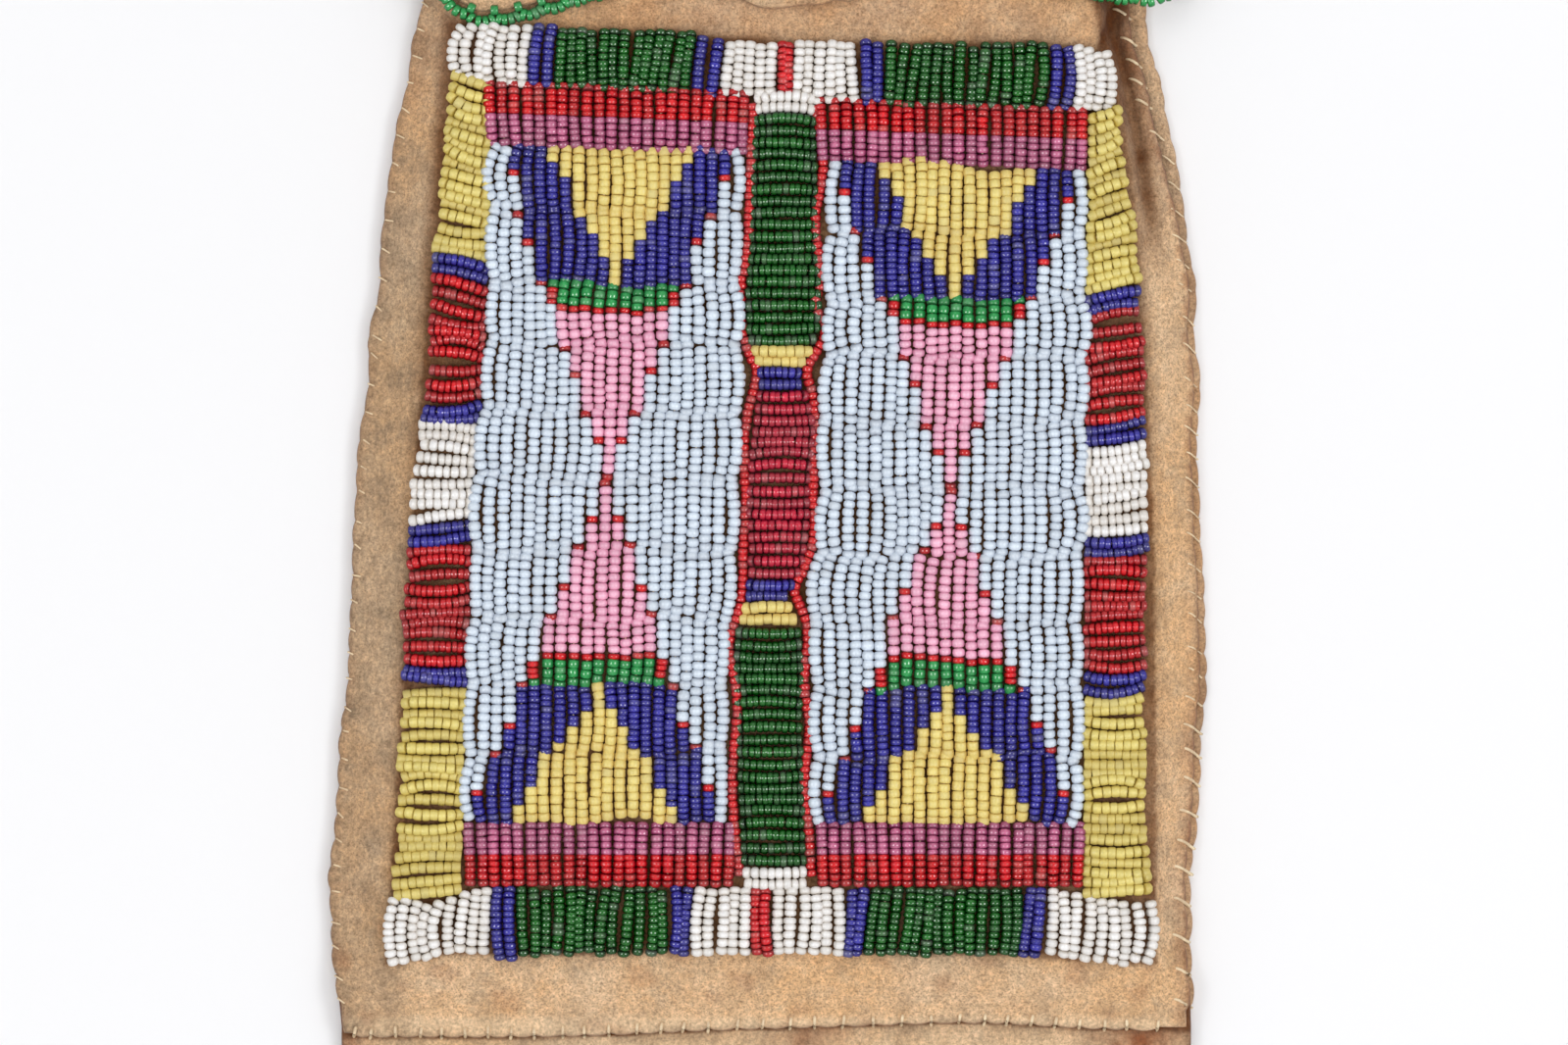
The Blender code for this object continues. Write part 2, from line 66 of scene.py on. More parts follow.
Material = bpy.types.Material
Piece = bpy.types.Object
log = logging.getLogger("document_bag")

MM = 0.001
SEAM_Y = -109.0


def tone(red: int, green: int, blue: int) -> Colour:
    """Linear colour of a display colour written as three numbers from 0 to 255."""
    parts = [value / 255 for value in (red, green, blue)]
    return tuple(p / 12.92 if p <= 0.04045 else ((p + 0.055) / 1.055) ** 2.4 for p in parts)


def ease(t: Array) -> Array:
    """Smooth rise from 0 to 1 as t goes from 0 to 1: 3t^2 - 2t^3, held at both ends."""
    t = np.clip(t, 0.0, 1.0)
    return t * t * (3 - 2 * t)


def along(points: Table, h: Array) -> Array:
    """Smooth curve through a table of (place, value) pairs, held past both ends.

    Each span is a cubic through its two ends, whose slopes are those of the neighbouring points.

    Args:
        points: pairs with rising places.
        h: places.

    Returns:
        The values.
    """
    places, values = np.array(points).T
    slopes = np.gradient(values, places)
    i = np.clip(np.searchsorted(places, h) - 1, 0, len(points) - 2)
    span = places[i + 1] - places[i]
    t = np.clip((h - places[i]) / span, 0.0, 1.0)
    start = (2 * t ** 3 - 3 * t ** 2 + 1) * values[i] + (t ** 3 - 2 * t ** 2 + t) * span * slopes[i]
    end = (3 * t ** 2 - 2 * t ** 3) * values[i + 1] + (t ** 3 - t ** 2) * span * slopes[i + 1]
    return start + end


def straight(points: Table, x: Array) -> Array:
    """Straight lines through a table of (place, value) pairs, held past both ends."""
    return np.interp(x, *np.array(points).T)


def ripple(seed: int, x: Array, y: Array, size: float) -> Array:
    """Smooth random relief over a plane, from about -2 to 2.

    It is the sum of plane waves with random directions and phases, divided by the square root of half
    their number.

    Args:
        seed: number that picks the pattern.
        x, y: places.
        size: usual wavelength.

    Returns:
        The relief at each place.
    """
    waves = 18
    rng = np.random.default_rng(seed)
    angle = rng.uniform(0, 2 * math.pi, waves)
    number = 2 * math.pi / (size * rng.uniform(0.7, 1.7, waves))
    phase = rng.uniform(0, 2 * math.pi, waves)
    x, y = np.broadcast_arrays(x, y)
    arms = x[..., None] * (number * np.cos(angle)) + y[..., None] * (number * np.sin(angle)) + phase
    return np.sin(arms).sum(axis=-1) / math.sqrt(waves / 2)


def place_points(x: Array, h: Array, z: Array) -> Array:
    """Points in the bag's frame, in millimetres, from places across, heights above the seam and z."""
    return np.stack(np.broadcast_arrays(x, np.asarray(h) + SEAM_Y, z), axis=-1).astype(float)


def unit(v: Array) -> Array:
    """Vectors divided by their lengths."""
    return v / np.maximum(np.linalg.norm(v, axis=-1, keepdims=True), 1e-9)


def rings(side: Array, over: Array, turn: Array) -> Array:
    """Unit directions round an axis: side times the cosine of turn, plus over times its sine."""
    return np.cos(turn)[..., None] * side + np.sin(turn)[..., None] * over


def link(name: str, data: bpy.types.ID) -> Piece:
    """Put a new object in the scene.

    Args:
        name: name of the object.
        data: what it shows.

    Returns:
        The object.
    """
    thing = bpy.data.objects.new(name, data)
    bpy.context.scene.collection.objects.link(thing)
    return thing


def write_piece(name: str, points: Array, faces: list[Faces], material: Material, **marks: Array) -> Piece:
    """Put a mesh in the scene with its object at the origin.

    Args:
        name: name of the piece.
        points: vertices in millimetres.
        faces: arrays of faces, each with its own number of corners.
        material: finish of the whole piece.
        marks: one number for every vertex, by the attribute's name.

    Returns:
        The piece.
    """
    mesh = bpy.data.meshes.new(name)
    flat = np.ascontiguousarray(points.reshape(-1, 3) * MM, dtype=np.float32)
    corners = np.concatenate([f.ravel() for f in faces]).astype(np.int32)
    totals = np.concatenate([np.full(len(f), f.shape[1]) for f in faces])
    starts = np.concatenate([[0], np.cumsum(totals)[:-1]]).astype(np.int32)
    for items, count, key, values in ((mesh.vertices, len(flat), "co", flat.ravel()),
                                      (mesh.loops, len(corners), "vertex_index", corners),
                                      (mesh.polygons, len(totals), "loop_start", starts)):
        items.add(count)
        items.foreach_set(key, values)
    mesh.update(calc_edges=True)
    mesh.shade_smooth()
    for mark, values in marks.items():
        layer = mesh.attributes.new(mark, "FLOAT", "POINT")
        layer.data.foreach_set("value", np.ascontiguousarray(values, dtype=np.float32).ravel())
    mesh.materials.append(material)
    return link(name, mesh)


# ---------------------------------------------------------------- finishes


class Board:
    """A node tree while it is laid out."""

    def __init__(self, tree: Tree) -> None:
        """Start on a tree."""
        self.tree = tree

    def feed(self, sockets: object, values: dict) -> None:
        """Link or set several sockets.

        Args:
            sockets: sockets by name or number.
            values: for each of them, a socket to link from or a plain value.
        """
        for key, value in values.items():
            socket = sockets[key]
            if isinstance(value, Socket):
                self.tree.links.new(value, socket)
            else:
                socket.default_value = (*value, 1.0) if socket.type == "RGBA" else value

    def add(self, kind: str, inputs: dict | None = None, **settings: object) -> bpy.types.Node:
        """Add a node.

        Args:
            kind: type of the node.
            inputs: what feeds its inputs, by name or number.
            settings: the node's own options.

        Returns:
            The node.
        """
        node = self.tree.nodes.new(kind)
        for key, value in settings.items():
            setattr(node, key, value)
        self.feed(node.inputs, inputs or {})
        return node

    def math(self, operation: str, a: object, b: object, clamp: bool = False) -> Socket:
        """Result of a sum on two numbers."""
        return self.add("ShaderNodeMath", {0: a, 1: b}, operation=operation, use_clamp=clamp).outputs[0]

    def mix(self, share: object, a: object, b: object) -> Socket:
        """Colour between a and b."""
        return self.add("ShaderNodeMix", {0: share, 6: a, 7: b}, data_type="RGBA").outputs[2]

    def spread(self, value: Socket, low: float, high: float, to_low: float = 0.0, to_high: float = 1.0) -> Socket:
        """Value moved from one range to another and held inside it."""
        ranges = {"Value": value, "From Min": low, "From Max": high, "To Min": to_low, "To Max": to_high}
        return self.add("ShaderNodeMapRange", ranges).outputs["Result"]

    def noise(self, place: Socket, size: float, detail: float = 2.0, roughness: float = 0.5) -> Socket:
        """Random value from 0 to 1 whose grains are about size millimetres across."""
        inputs = {"Vector": place, "Scale": 1 / (size * MM), "Detail": detail, "Roughness": roughness}
        return self.add("ShaderNodeTexNoise", inputs).outputs["Fac"]

    def stretch(self, place: Socket, share: float) -> Socket:
        """Place squeezed along the bag, so that a noise in it runs lengthwise."""
        return self.add("ShaderNodeVectorMath", {0: place, 1: (1.0, share, 1.0)}, operation="MULTIPLY").outputs[0]

    def scale(self, colour: Socket, factor: Socket) -> Socket:
        """Colour times a number."""
        return self.add("ShaderNodeVectorMath", {0: colour, "Scale": factor}, operation="SCALE").outputs[0]

    def mark(self, name: str) -> Socket:
        """Value of one of the piece's own attributes."""
        return self.add("ShaderNodeAttribute", attribute_name=name).outputs["Fac"]

    def place(self) -> Socket:
        """Object coordinates."""
        return self.add("ShaderNodeTexCoord").outputs["Object"]

    def bump(self, height: Socket, strength: float, distance: float) -> Socket:
        """Normal of a surface with this height; distance is in metres."""
        inputs = {"Strength": strength, "Distance": distance, "Height": height}
        return self.add("ShaderNodeBump", inputs).outputs["Normal"]


FLOAT, COLOUR, VECTOR = "NodeSocketFloat", "NodeSocketColor", "NodeSocketVector"
GROUP_OUTPUTS = {"Colour": COLOUR, "Roughness": FLOAT, "Height": FLOAT}


def new_group(name: str, takes: dict[str, str]) -> tuple[Board, dict, dict]:
    """Start a shader node group that gives a colour, a roughness and a height.

    Args:
        name: name of the group.
        takes: type of each input socket by its name.

    Returns:
        The board, the group's inputs as sockets to read, and its outputs as sockets to feed.
    """
    tree = bpy.data.node_groups.new(name, "ShaderNodeTree")
    for way, sockets in (("INPUT", takes), ("OUTPUT", GROUP_OUTPUTS)):
        for socket, kind in sockets.items():
            tree.interface.new_socket(name=socket, in_out=way, socket_type=kind)
    board = Board(tree)
    start, end = board.add("NodeGroupInput"), board.add("NodeGroupOutput")
    return board, dict(start.outputs.items()), dict(end.inputs.items())


def new_material(name: str) -> tuple[Material, Board, bpy.types.Node]:
    """Start a material.

    Args:
        name: name of the material.

    Returns:
        The material, its board and its Principled shader.
    """
    material = bpy.data.materials.new(name)
    material.use_nodes = True
    return material, Board(material.node_tree), material.node_tree.nodes["Principled BSDF"]


def group_material(name: str, group: Tree, marks: tuple[str, ...], values: dict, sockets: dict,
                   bump: tuple[float, float]) -> Material:
    """Material whose colour, roughness and height come from a group.

    Args:
        name: name of the material.
        group: the group.
        marks: attributes of the piece that the group reads.
        values: values of the group's other inputs.
        sockets: plain values of the shader's own sockets.
        bump: strength and distance of the bump.

    Returns:
        The material.
    """
    material, board, shader = new_material(name)
    reads = {mark.capitalize(): board.mark(mark) for mark in marks}
    surface = board.add("ShaderNodeGroup", node_tree=group)
    board.feed(surface.inputs, {"Place": board.place()} | reads | values)
    colour, rough, height = surface.outputs
    board.feed(shader.inputs, {"Base Color": colour, "Roughness": rough, "Normal": board.bump(height, *bump)})
    board.feed(shader.inputs, sockets)
    return material


def glass_wear_and_light_group() -> Tree:
    """Group that ages glass and paints light and shade on it.

    The colour runs from a painted shade tone, low at the sides of a bead and in the joints, to Colour,
    painted as lit, on top of it, times its shade. Dust lays a greyed film over it.

    Returns:
        The group.
    """
    numbers = ("Shade", "Dust", "Core", "Spread", "Gloss")
    board, takes, gives = new_group(
        "glass_wear", {"Place": VECTOR, "Colour": COLOUR, "Deep": COLOUR} | dict.fromkeys(numbers, FLOAT))
    swirl = board.noise(takes["Place"], 0.5, 3.0)
    patch = board.noise(takes["Place"], 2.2, 2.0)
    light = board.math("ADD", board.math("MULTIPLY", takes["Shade"], takes["Spread"]), 1.0)
    light = board.math("MULTIPLY", light, board.spread(swirl, 0.3, 0.7, 0.93, 1.07))
    # Painted light and shade: the shaded tone low on a bead, the lit colour on top.
    glass = board.mix(board.spread(takes["Core"], 0.1, 0.92), takes["Deep"], takes["Colour"])
    dusty = board.math("MULTIPLY", takes["Dust"], board.spread(patch, 0.3, 0.65, 0.6, 1.0), clamp=True)
    colour = board.mix(dusty, board.scale(glass, light), board.mix(0.22, glass, DUST))
    rough = board.math("ADD", takes["Gloss"], board.math("MULTIPLY", dusty, 0.25))
    rough = board.math("ADD", rough, board.spread(swirl, 0.35, 0.7, 0.0, 0.08), clamp=True)
    board.feed(gives, {"Colour": colour, "Roughness": rough, "Height": swirl})
    return board.tree


def hide_surface_group() -> Tree:
    """Group that gives smoked hide: mottled tan with nap, fibres and flecks, and by its marks grime,
    burnish, pale places, painted shade, and the cut rim's own tone with painted shadow in the gap under it.

    Returns:
        The group.
    """
    board, takes, gives = new_group(
        "hide_surface", {"Place": VECTOR} | {mark.capitalize(): FLOAT for mark in HIDE_MARKS})
    place = takes["Place"]
    broad = board.noise(place, 26.0, 3.0, 0.55)
    mottle = board.noise(place, 5.0, 4.0, 0.62)
    fleck = board.noise(place, 1.3, 4.0, 0.72)
    tint = board.noise(place, 1.9, 3.0, 0.6)
    stipple = board.noise(place, 0.34, 1.0, 0.5)
    nap = board.noise(place, 0.62, 2.0, 0.65)
    fibre = board.noise(board.stretch(place, 0.35), 0.9, 3.0, 0.7)

    def noisy_mark(mark: str, noise: Socket, *spread: float) -> Socket:
        """A mark broken up by a noise."""
        return board.math("MULTIPLY", takes[mark], board.spread(noise, *spread), clamp=True)

    dirty = noisy_mark("Grime", fleck, 0.38, 0.62, 1.25, 0.7)
    rubbed = noisy_mark("Burnish", mottle, 0.3, 0.6, 1.15, 0.7)
    # sunk is painted shade: hide darkened under and beside the beads, in the fold, the pleat and the seam gaps.
    sunk = noisy_mark("Dark", mottle, 0.3, 0.6, 1.1, 0.85)
    colour = board.mix(board.spread(broad, 0.38, 0.62), HIDE_TAN, HIDE_WARM)
    # The last two stains are painted shade, and the cut rim's own tone with painted shadow in the gap under it.
    for share, stain in ((board.spread(mottle, 0.5, 0.7, 0.0, 0.4), HIDE_PALE),
                         (board.spread(mottle, 0.32, 0.48, 0.22, 0.0), HIDE_BROWN),
                         (board.spread(tint, 0.52, 0.66, 0.0, 0.2), HIDE_ORANGE),
                         (board.spread(tint, 0.34, 0.46, 0.22, 0.0), HIDE_GREY),
                         (board.spread(stipple, 0.34, 0.48, 0.45, 0.0), HIDE_DARK),
                         (takes["Pale"], HIDE_PALE), (dirty, HIDE_GRIME),
                         (board.spread(fleck, 0.3, 0.46, 0.26, 0.0), HIDE_DARK),
                         (rubbed, HIDE_BURNT), (sunk, HIDE_SHADE), (takes["Rim"], HIDE_CUT_AND_SHADOW)):
        colour = board.mix(share, colour, stain)
    grain = board.math("MULTIPLY", board.spread(nap, 0.3, 0.7, 0.74, 1.28), board.spread(fibre, 0.3, 0.7, 0.88, 1.12))
    height = board.math("MULTIPLY", nap, 0.6)
    for noise, weight in ((fibre, 0.7), (mottle, 0.8)):
        height = board.math("ADD", height, board.math("MULTIPLY", noise, weight))
    rough = board.math("SUBTRACT", 0.93, board.math("MULTIPLY", rubbed, 0.3))
    board.feed(gives, {"Colour": board.scale(colour, grain), "Roughness": rough, "Height": height})
    return board.tree


# The glass reads each bead's tone, its dust and its share of painted light.
GLASS_MARKS = ("shade", "dust", "core")
# The hide's marks carry grime, burnish and pale places, painted shade, and the cut rim's tone, which also paints the
# shadow in the gap under the rim.
HIDE_MARKS = ("rim", "grime", "burnish", "dark", "pale")
DUST = tone(158, 156, 150)
HIDE_TAN = tone(219, 185, 148)
HIDE_WARM = tone(220, 177, 131)
HIDE_ORANGE = tone(222, 168, 112)
HIDE_GREY = tone(178, 156, 132)
HIDE_PALE = tone(228, 200, 164)
HIDE_BROWN = tone(170, 132, 92)
HIDE_DARK = tone(112, 82, 54)
HIDE_GRIME = tone(140, 118, 94)
HIDE_BURNT = tone(140, 82, 46)
# Painted shade of hide under and beside the beads, in the fold, the pleat and the seam gaps.
HIDE_SHADE = tone(96, 52, 16)
# Cut rim tone, which also paints the shadow in the gap under a rim.
HIDE_CUT_AND_SHADOW = tone(110, 70, 44)
SINEW_TONE = tone(240, 218, 180)
FLOOR_TONE: Colour = (0.93, 0.93, 0.945)


@dataclass(frozen=True)
class BeadForm:
    """Form of a bead: a barrel with rounded ends, turned round its axis, with flat faces on its thread.

    Attributes:
        face: distance of the face's rim from the axis, as a share of half the width.
        shoulder: the same where the end begins to round.
        turn: place where the end begins to round, as a share of the length from the middle.
        joint: share of the painted light on the faces between two beads, which paints shade in the joints.
        focus: how narrowly the painted light gathers on top of the bead.
        sides: number of sides.
    """

    face: float
    shoulder: float
    turn: float
    joint: float = 0.4
    focus: float = 1.0
    sides: int = 8

    @property
    def profile(self) -> Array:
        """Place along the bead, distance from its axis, and painted light, of each profile point, as shares."""
        half = ((self.turn, self.shoulder, 0.97), (0.5, self.face, self.joint))
        return np.array([(-p, r, s) for p, r, s in half[::-1]] + [(0.0, 1.0, 1.0), *half]).T

    def points(self, beads: Beads, roll: Array) -> tuple[Array, Array]:
        """Vertices of all beads: centre + axis times place along it + ring direction times radius.

        Args:
            beads: the beads.
            roll: turn of each bead round its axis.

        Returns:
            The vertices, and their painted light: how far each one faces up into the light, from 0 to 1.
        """
        place, radius, light = self.profile
        side = unit(np.cross(beads.axis, np.array([0.0, 0.0, 1.0])))
        over = np.cross(side, beads.axis)
        turn = roll[:, None] + np.arange(self.sides) * 2 * math.pi / self.sides
        ring = rings(side[:, None], over[:, None], turn)
        ends = place[:, None, None] * beads.length[:, None, None, None]
        radii = radius[:, None, None] * beads.width[:, None, None, None] / 2
        # Painted light: vertices that face up get the lit colour, and the sides, the joints and shaded beads the
        # painted shade tone.
        core = np.clip(ring[:, None, :, 2], 0, 1) ** self.focus * light[:, None] * beads.light[:, None, None]
        return beads.centre[:, None, None] + beads.axis[:, None, None] * ends + ring[:, None] * radii, core

    def faces(self, count: int) -> list[Faces]:
        """Faces of all beads: quads between neighbouring rings, and one flat face at each end.

        Args:
            count: number of beads.

        Returns:
            The quads, and the end faces.
        """
        corners = self.profile.shape[1] * self.sides
        index = np.arange(corners).reshape(-1, self.sides)
        low, high = index[:-1], index[1:]
        quad = np.stack([low, high, np.roll(high, -1, axis=1), np.roll(low, -1, axis=1)], axis=-1)
        caps = np.stack([index[0], index[-1][::-1]])
        first = np.arange(count)[:, None, None] * corners
        return [(quad.reshape(1, -1, 4) + first).reshape(-1, 4), (caps[None] + first).reshape(-1, self.sides)]


PILLOW = BeadForm(0.6, 0.925, 0.31)
ROPE = BeadForm(0.83, 0.96, 0.36, joint=0.7)
BARREL = BeadForm(0.78, 0.95, 0.32, focus=1.7)


@dataclass(frozen=True)
class GlassFinish:
    """One kind of bead.

    Attributes:
        slot: the record's material slot.
        colour: colour of the glass on top of a bead, painted as lit.
        deep: its painted shade tone, low at the sides and in the joints.
        length, width: usual size of a bead.
        form: its profile.
        gloss: roughness of a clean bead.
        shine: specular level.
        spread: how far the beads differ in shade.
        film: usual share of dust.
        clear: share of light that passes through.
    """

    slot: str
    colour: Colour
    deep: Colour
    length: float
    width: float
    form: BeadForm = PILLOW
    gloss: float = 0.36
    shine: float = 0.4
    spread: float = 0.05
    film: float = 0.08
    clear: float = 0.0

    def material(self, wear: Tree) -> Material:
        """Material of this glass, aged and given painted light and shade by the shared group.

        Args:
            wear: group that ages glass and paints light and shade on it.

        Returns:
            The material.
        """
        values = {name.capitalize(): getattr(self, name) for name in ("colour", "deep", "spread", "gloss")}
        sockets = {"IOR": 1.5, "Specular IOR Level": self.shine, "Transmission Weight": self.clear}
        return group_material(f"{self.slot}_glass", wear, GLASS_MARKS, values, sockets, (0.15, 0.00006))


class Glass(Enum):
    """Kinds of bead, by the letter that stands for them in the lanes' figures."""

    L = GlassFinish("light_blue", tone(217, 229, 242), tone(186, 193, 204), 1.5, 2.32)
    N = GlassFinish("navy", tone(56, 52, 158), tone(20, 8, 88), 1.03, 2.2, BARREL, 0.1, 0.4, 0.14, 0.1)
    Y = GlassFinish("pale_yellow", tone(230, 211, 125), tone(212, 180, 98), 1.45, 2.2, ROPE, 0.42, 0.3)
    O = GlassFinish("yellow", tone(226, 209, 122), tone(186, 160, 66), 1.4, 2.14, ROPE, 0.42, 0.3, 0.06, 0.14)
    G = GlassFinish("leaf_green", tone(42, 157, 80), tone(10, 92, 42), 1.3, 2.1, ROPE, 0.22, 0.4, 0.1)
    T = GlassFinish("green", tone(8, 104, 14), tone(0, 28, 2), 1.06, 2.14, BARREL, 0.09, 0.45, 0.14, 0.03, 0.1)
    P = GlassFinish("pink", tone(246, 184, 208), tone(212, 141, 171), 1.45, 2.24, PILLOW, 0.34, 0.35, 0.08)
    R = GlassFinish("red", tone(220, 8, 18), tone(114, 0, 12), 1.05, 2.2, BARREL, 0.1, 0.4, 0.1, 0.1)
    D = GlassFinish("dark_red", tone(204, 22, 56), tone(92, 0, 24), 1.1, 2.12, BARREL, 0.1, 0.4, 0.14, 0.12)
    Q = GlassFinish("purple", tone(202, 108, 146), tone(118, 30, 74), 1.04, 2.18, BARREL, 0.12, 0.45, 0.12, 0.22)
    W = GlassFinish("white", tone(241, 239, 238), tone(210, 202, 192), 1.32, 2.18, PILLOW, 0.36, 0.4, 0.04)


class Finishes:
    """Every material of the bag, made once."""

    def __init__(self) -> None:
        """Make the glass, the smoked hide with its nap up, and the pale twisted sewing thread."""
        wear = glass_wear_and_light_group()
        self.glass = {kind: kind.value.material(wear) for kind in Glass}
        self.hide = group_material(
            "smoked_hide", hide_surface_group(), HIDE_MARKS, {},
            {"Specular IOR Level": 0.12, "Sheen Weight": 0.08, "Sheen Roughness": 0.6}, (0.7, 0.0003))
        self.sinew, board, shader = new_material("sinew")
        place = board.place()
        patch = board.spread(board.noise(place, 1.6, 2.0), 0.35, 0.65, 0.0, 0.5)
        board.feed(shader.inputs, {"Base Color": board.mix(patch, SINEW_TONE, HIDE_BROWN), "Roughness": 0.6,
                                   "Normal": board.bump(board.noise(place, 0.3), 0.4, 0.0001)})


# ---------------------------------------------------------------- shape of the bag


@dataclass(frozen=True)
class BagShape:
    """Outline and relief shared by the hides, the beads and the threads, as in the part's source.

    Attributes:
        hide, touch: thickness of a hide, and the gap between two of them.
        pocket: how far the front stands off the back.
        left_edge, right_edge: (height, place) tables of the sides.
        pleat, pleat_depth, pleat_width: groove beside the beads at the upper right.
        pleat_foot, pleat_run: height where it begins, and how far on it is at its full depth.
        fold_line, fold_depth: sharp fold above it.
        fold_foot, fold_run: height where it begins, and how far on it is at its full depth.
        fold_step, fold_back: width of its drop, and of its rise.
        front_inset: (height, distance) table of how far the front stops short at the right.
        seam_sag: (place, height) table of the bottom seam.
        edge_roll, foot_roll: width of the front's roll down to its sides, as a share, and to its foot.
        fold, fold_radius, hinge_height: height of the fold on the bag, its radius, and its seam over the table.
        mouth: height of the front's upper edge.
        band_tuck, band_length: reach of the lower hide above and below the bottom seam.
        stitch_pitch: distance of two stitches where none was measured.
    """

    hide: float = 1.2
    touch: float = 0.3
    pocket: float = 5.5
    left_edge: Table = ((-25.0, -74.3), (0.0, -74.3), (15.0, -75.8), (44.0, -74.3), (90.0, -71.4),
                        (132.0, -67.5), (153.0, -64.9), (175.0, -60.7), (243.0, -56.8))
    right_edge: Table = ((-25.0, 74.1), (0.0, 74.1), (15.0, 73.6), (46.0, 75.6), (97.0, 75.2), (122.0, 74.5),
                         (146.0, 71.9), (178.0, 65.3), (243.0, 62.2))
    pleat: Table = ((128.0, 67.0), (145.0, 65.5), (165.0, 62.0), (178.0, 59.3), (243.0, 57.0))
    fold_line: Table = ((150.0, 63.5), (160.0, 60.0), (169.8, 57.1), (178.5, 59.6), (243.0, 66.0))
    fold_depth: float = 2.6
    fold_foot: float = 163.0
    fold_run: float = 6.0
    fold_step: float = 0.6
    fold_back: float = 4.0
    front_inset: Table = ((0.0, 0.6), (40.0, 1.1), (128.0, 1.2), (141.0, 1.4), (146.0, 2.0), (164.0, 2.6),
                          (177.0, 2.9), (243.0, 3.2))
    seam_sag: Table = ((-74.3, -1.4), (-31.0, -1.2), (-10.0, -0.3), (13.3, 0.4), (37.0, 1.0), (57.5, 0.0),
                       (74.0, -0.4))
    pleat_depth: float = 3.4
    pleat_width: float = 1.7
    pleat_foot: float = 122.0
    pleat_run: float = 35.0
    edge_roll: float = 0.13
    foot_roll: float = 11.0
    fold: float = 243.0
    mouth: float = 228.0
    fold_radius: float = 5.0
    hinge_height: float = 5.2
    band_tuck: float = 6.0
    band_length: float = 25.0
    stitch_pitch: float = 4.65

    @property
    def front_top(self) -> float:
        """Height of the front hide's outer face over the table."""
        return 2 * self.hide + self.pocket

    @property
    def side_top(self) -> float:
        """Height of the front hide's outer face at its side edge."""
        return 2 * self.hide + self.touch

    def edge(self, h: Array, side: int) -> Array:
        """Side edge at height h, -1 for the left and 1 for the right."""
        return along(self.left_edge if side < 0 else self.right_edge, h)

    def across(self, x: Array, h: Array) -> Array:
        """Place across as a share: -1 at the left edge and 1 at the right."""
        left, right = self.edge(h, -1), self.edge(h, 1)
        return 2 * (x - left) / (right - left) - 1

    def front(self, x: Array, h: Array) -> Array:
        """Height over the table of the front hide's outer face.

        It is flat under the beads, eases down to its side edges and to the bottom seam, and a groove
        of the form exp(-d^2) runs along the pleat, where d is the distance from it in pleat widths.

        Args:
            x, h: places.

        Returns:
            The height at each place.
        """
        x, h = np.broadcast_arrays(np.asarray(x, float), np.asarray(h, float))
        over_band = 1 - ease((h - self.band_tuck - 1) / 6)
        low = self.side_top + (self.hide + self.touch) * over_band
        rise = ease((1 - np.abs(self.across(x, h))) / self.edge_roll) * ease(h / self.foot_roll)
        z = low + (self.front_top - low) * rise
        off = (x - along(self.pleat, h)) / self.pleat_width
        groove = np.where(off > 0, np.exp(-off ** 2), np.exp(-(off * 1.6) ** 2))
        return np.maximum(z - self.pleat_depth * groove * ease((h - self.pleat_foot) / self.pleat_run), low)

    def hide_top(self, x: Array, h: Array) -> Array:
        """Height over the table of the front hide's outer face, with the sharp fold beside the pleat.

        Right of the fold line the hide drops by fold_depth within fold_step and rises again over fold_back.

        Args:
            x, h: places.

        Returns:
            The height at each place.
        """
        off = x - along(self.fold_line, h)
        drop = ease(off / self.fold_step) * (1 - ease((off - 1.0) / self.fold_back))
        drop = drop * ease((h - self.fold_foot) / self.fold_run)
        return np.maximum(self.front(x, h) - self.fold_depth * drop, self.side_top)

    def stitches(self, side: int) -> Array:
        """Heights of the whip stitches down one side, measured ones with even ones over and under them.

        Args:
            side: -1 for the left and 1 for the right.

        Returns:
            The heights, rising.
        """
        known = RIGHT_STITCHES if side > 0 else LEFT_STITCHES
        lower = np.arange(known[-1] - self.stitch_pitch, 0.5, -self.stitch_pitch)
        upper = np.arange(known[0] + self.stitch_pitch, self.fold - self.fold_radius, self.stitch_pitch)
        spread = np.random.default_rng(11 + side).uniform(-0.5, 0.5, len(lower))
        return np.sort(np.concatenate([upper, known, lower + spread]))

    def scallop(self, h: Array, knots: Array) -> Array:
        """How far the edge stands out between stitches: root of |sin| of a phase that gains pi at each."""
        return np.sqrt(np.abs(np.sin(math.pi * np.interp(h, knots, np.arange(len(knots))))))


RIGHT_STITCHES = (175.6, 171.0, 167.1, 163.5, 160.0, 154.5, 150.4, 145.9, 141.2, 136.7, 132.2, 128.2, 122.2,
                  117.4, 111.5, 107.1, 103.1, 98.9, 94.0, 88.6, 84.5, 79.3, 74.6, 70.4, 65.0, 60.8, 55.9, 51.0,
                  46.8, 41.9, 36.6, 31.0, 26.5, 21.0, 14.7, 9.0, 3.3)
LEFT_STITCHES = (164.6, 160.1, 155.4, 150.6, 145.6, 140.6, 135.6, 130.6, 125.6, 120.5, 117.4, 112.1, 107.2,
                 102.3, 97.7)
BOTTOM_STITCHES = (-71.7, -68.9, -64.6, -60.2, -56.6, -52.5, -48.5, -44.5, -40.5, -35.5, -31.8, -27.5, -22.6,
                   -18.4, -14.5, -10.2, -5.1, -0.7, 4.1, 8.3, 13.3, 18.5, 23.5, 28.6, 33.5, 37.9, 41.8, 46.1,
                   50.2, 54.4, 58.8, 62.6, 68.0)
FLAP_LOBES: Table = ((-59.5, 183.5), (-49.6, 176.9), (-21.8, 182.5), (5.1, 177.3), (33.7, 184.5),
                     (67.5, 180.6), (73.1, 184.0))
BEADS_LEFT: Table = ((11.0, -66.0), (110.0, -60.0), (176.0, -54.5))
BEADS_RIGHT: Table = ((11.0, 67.5), (110.0, 66.0), (176.0, 60.0))
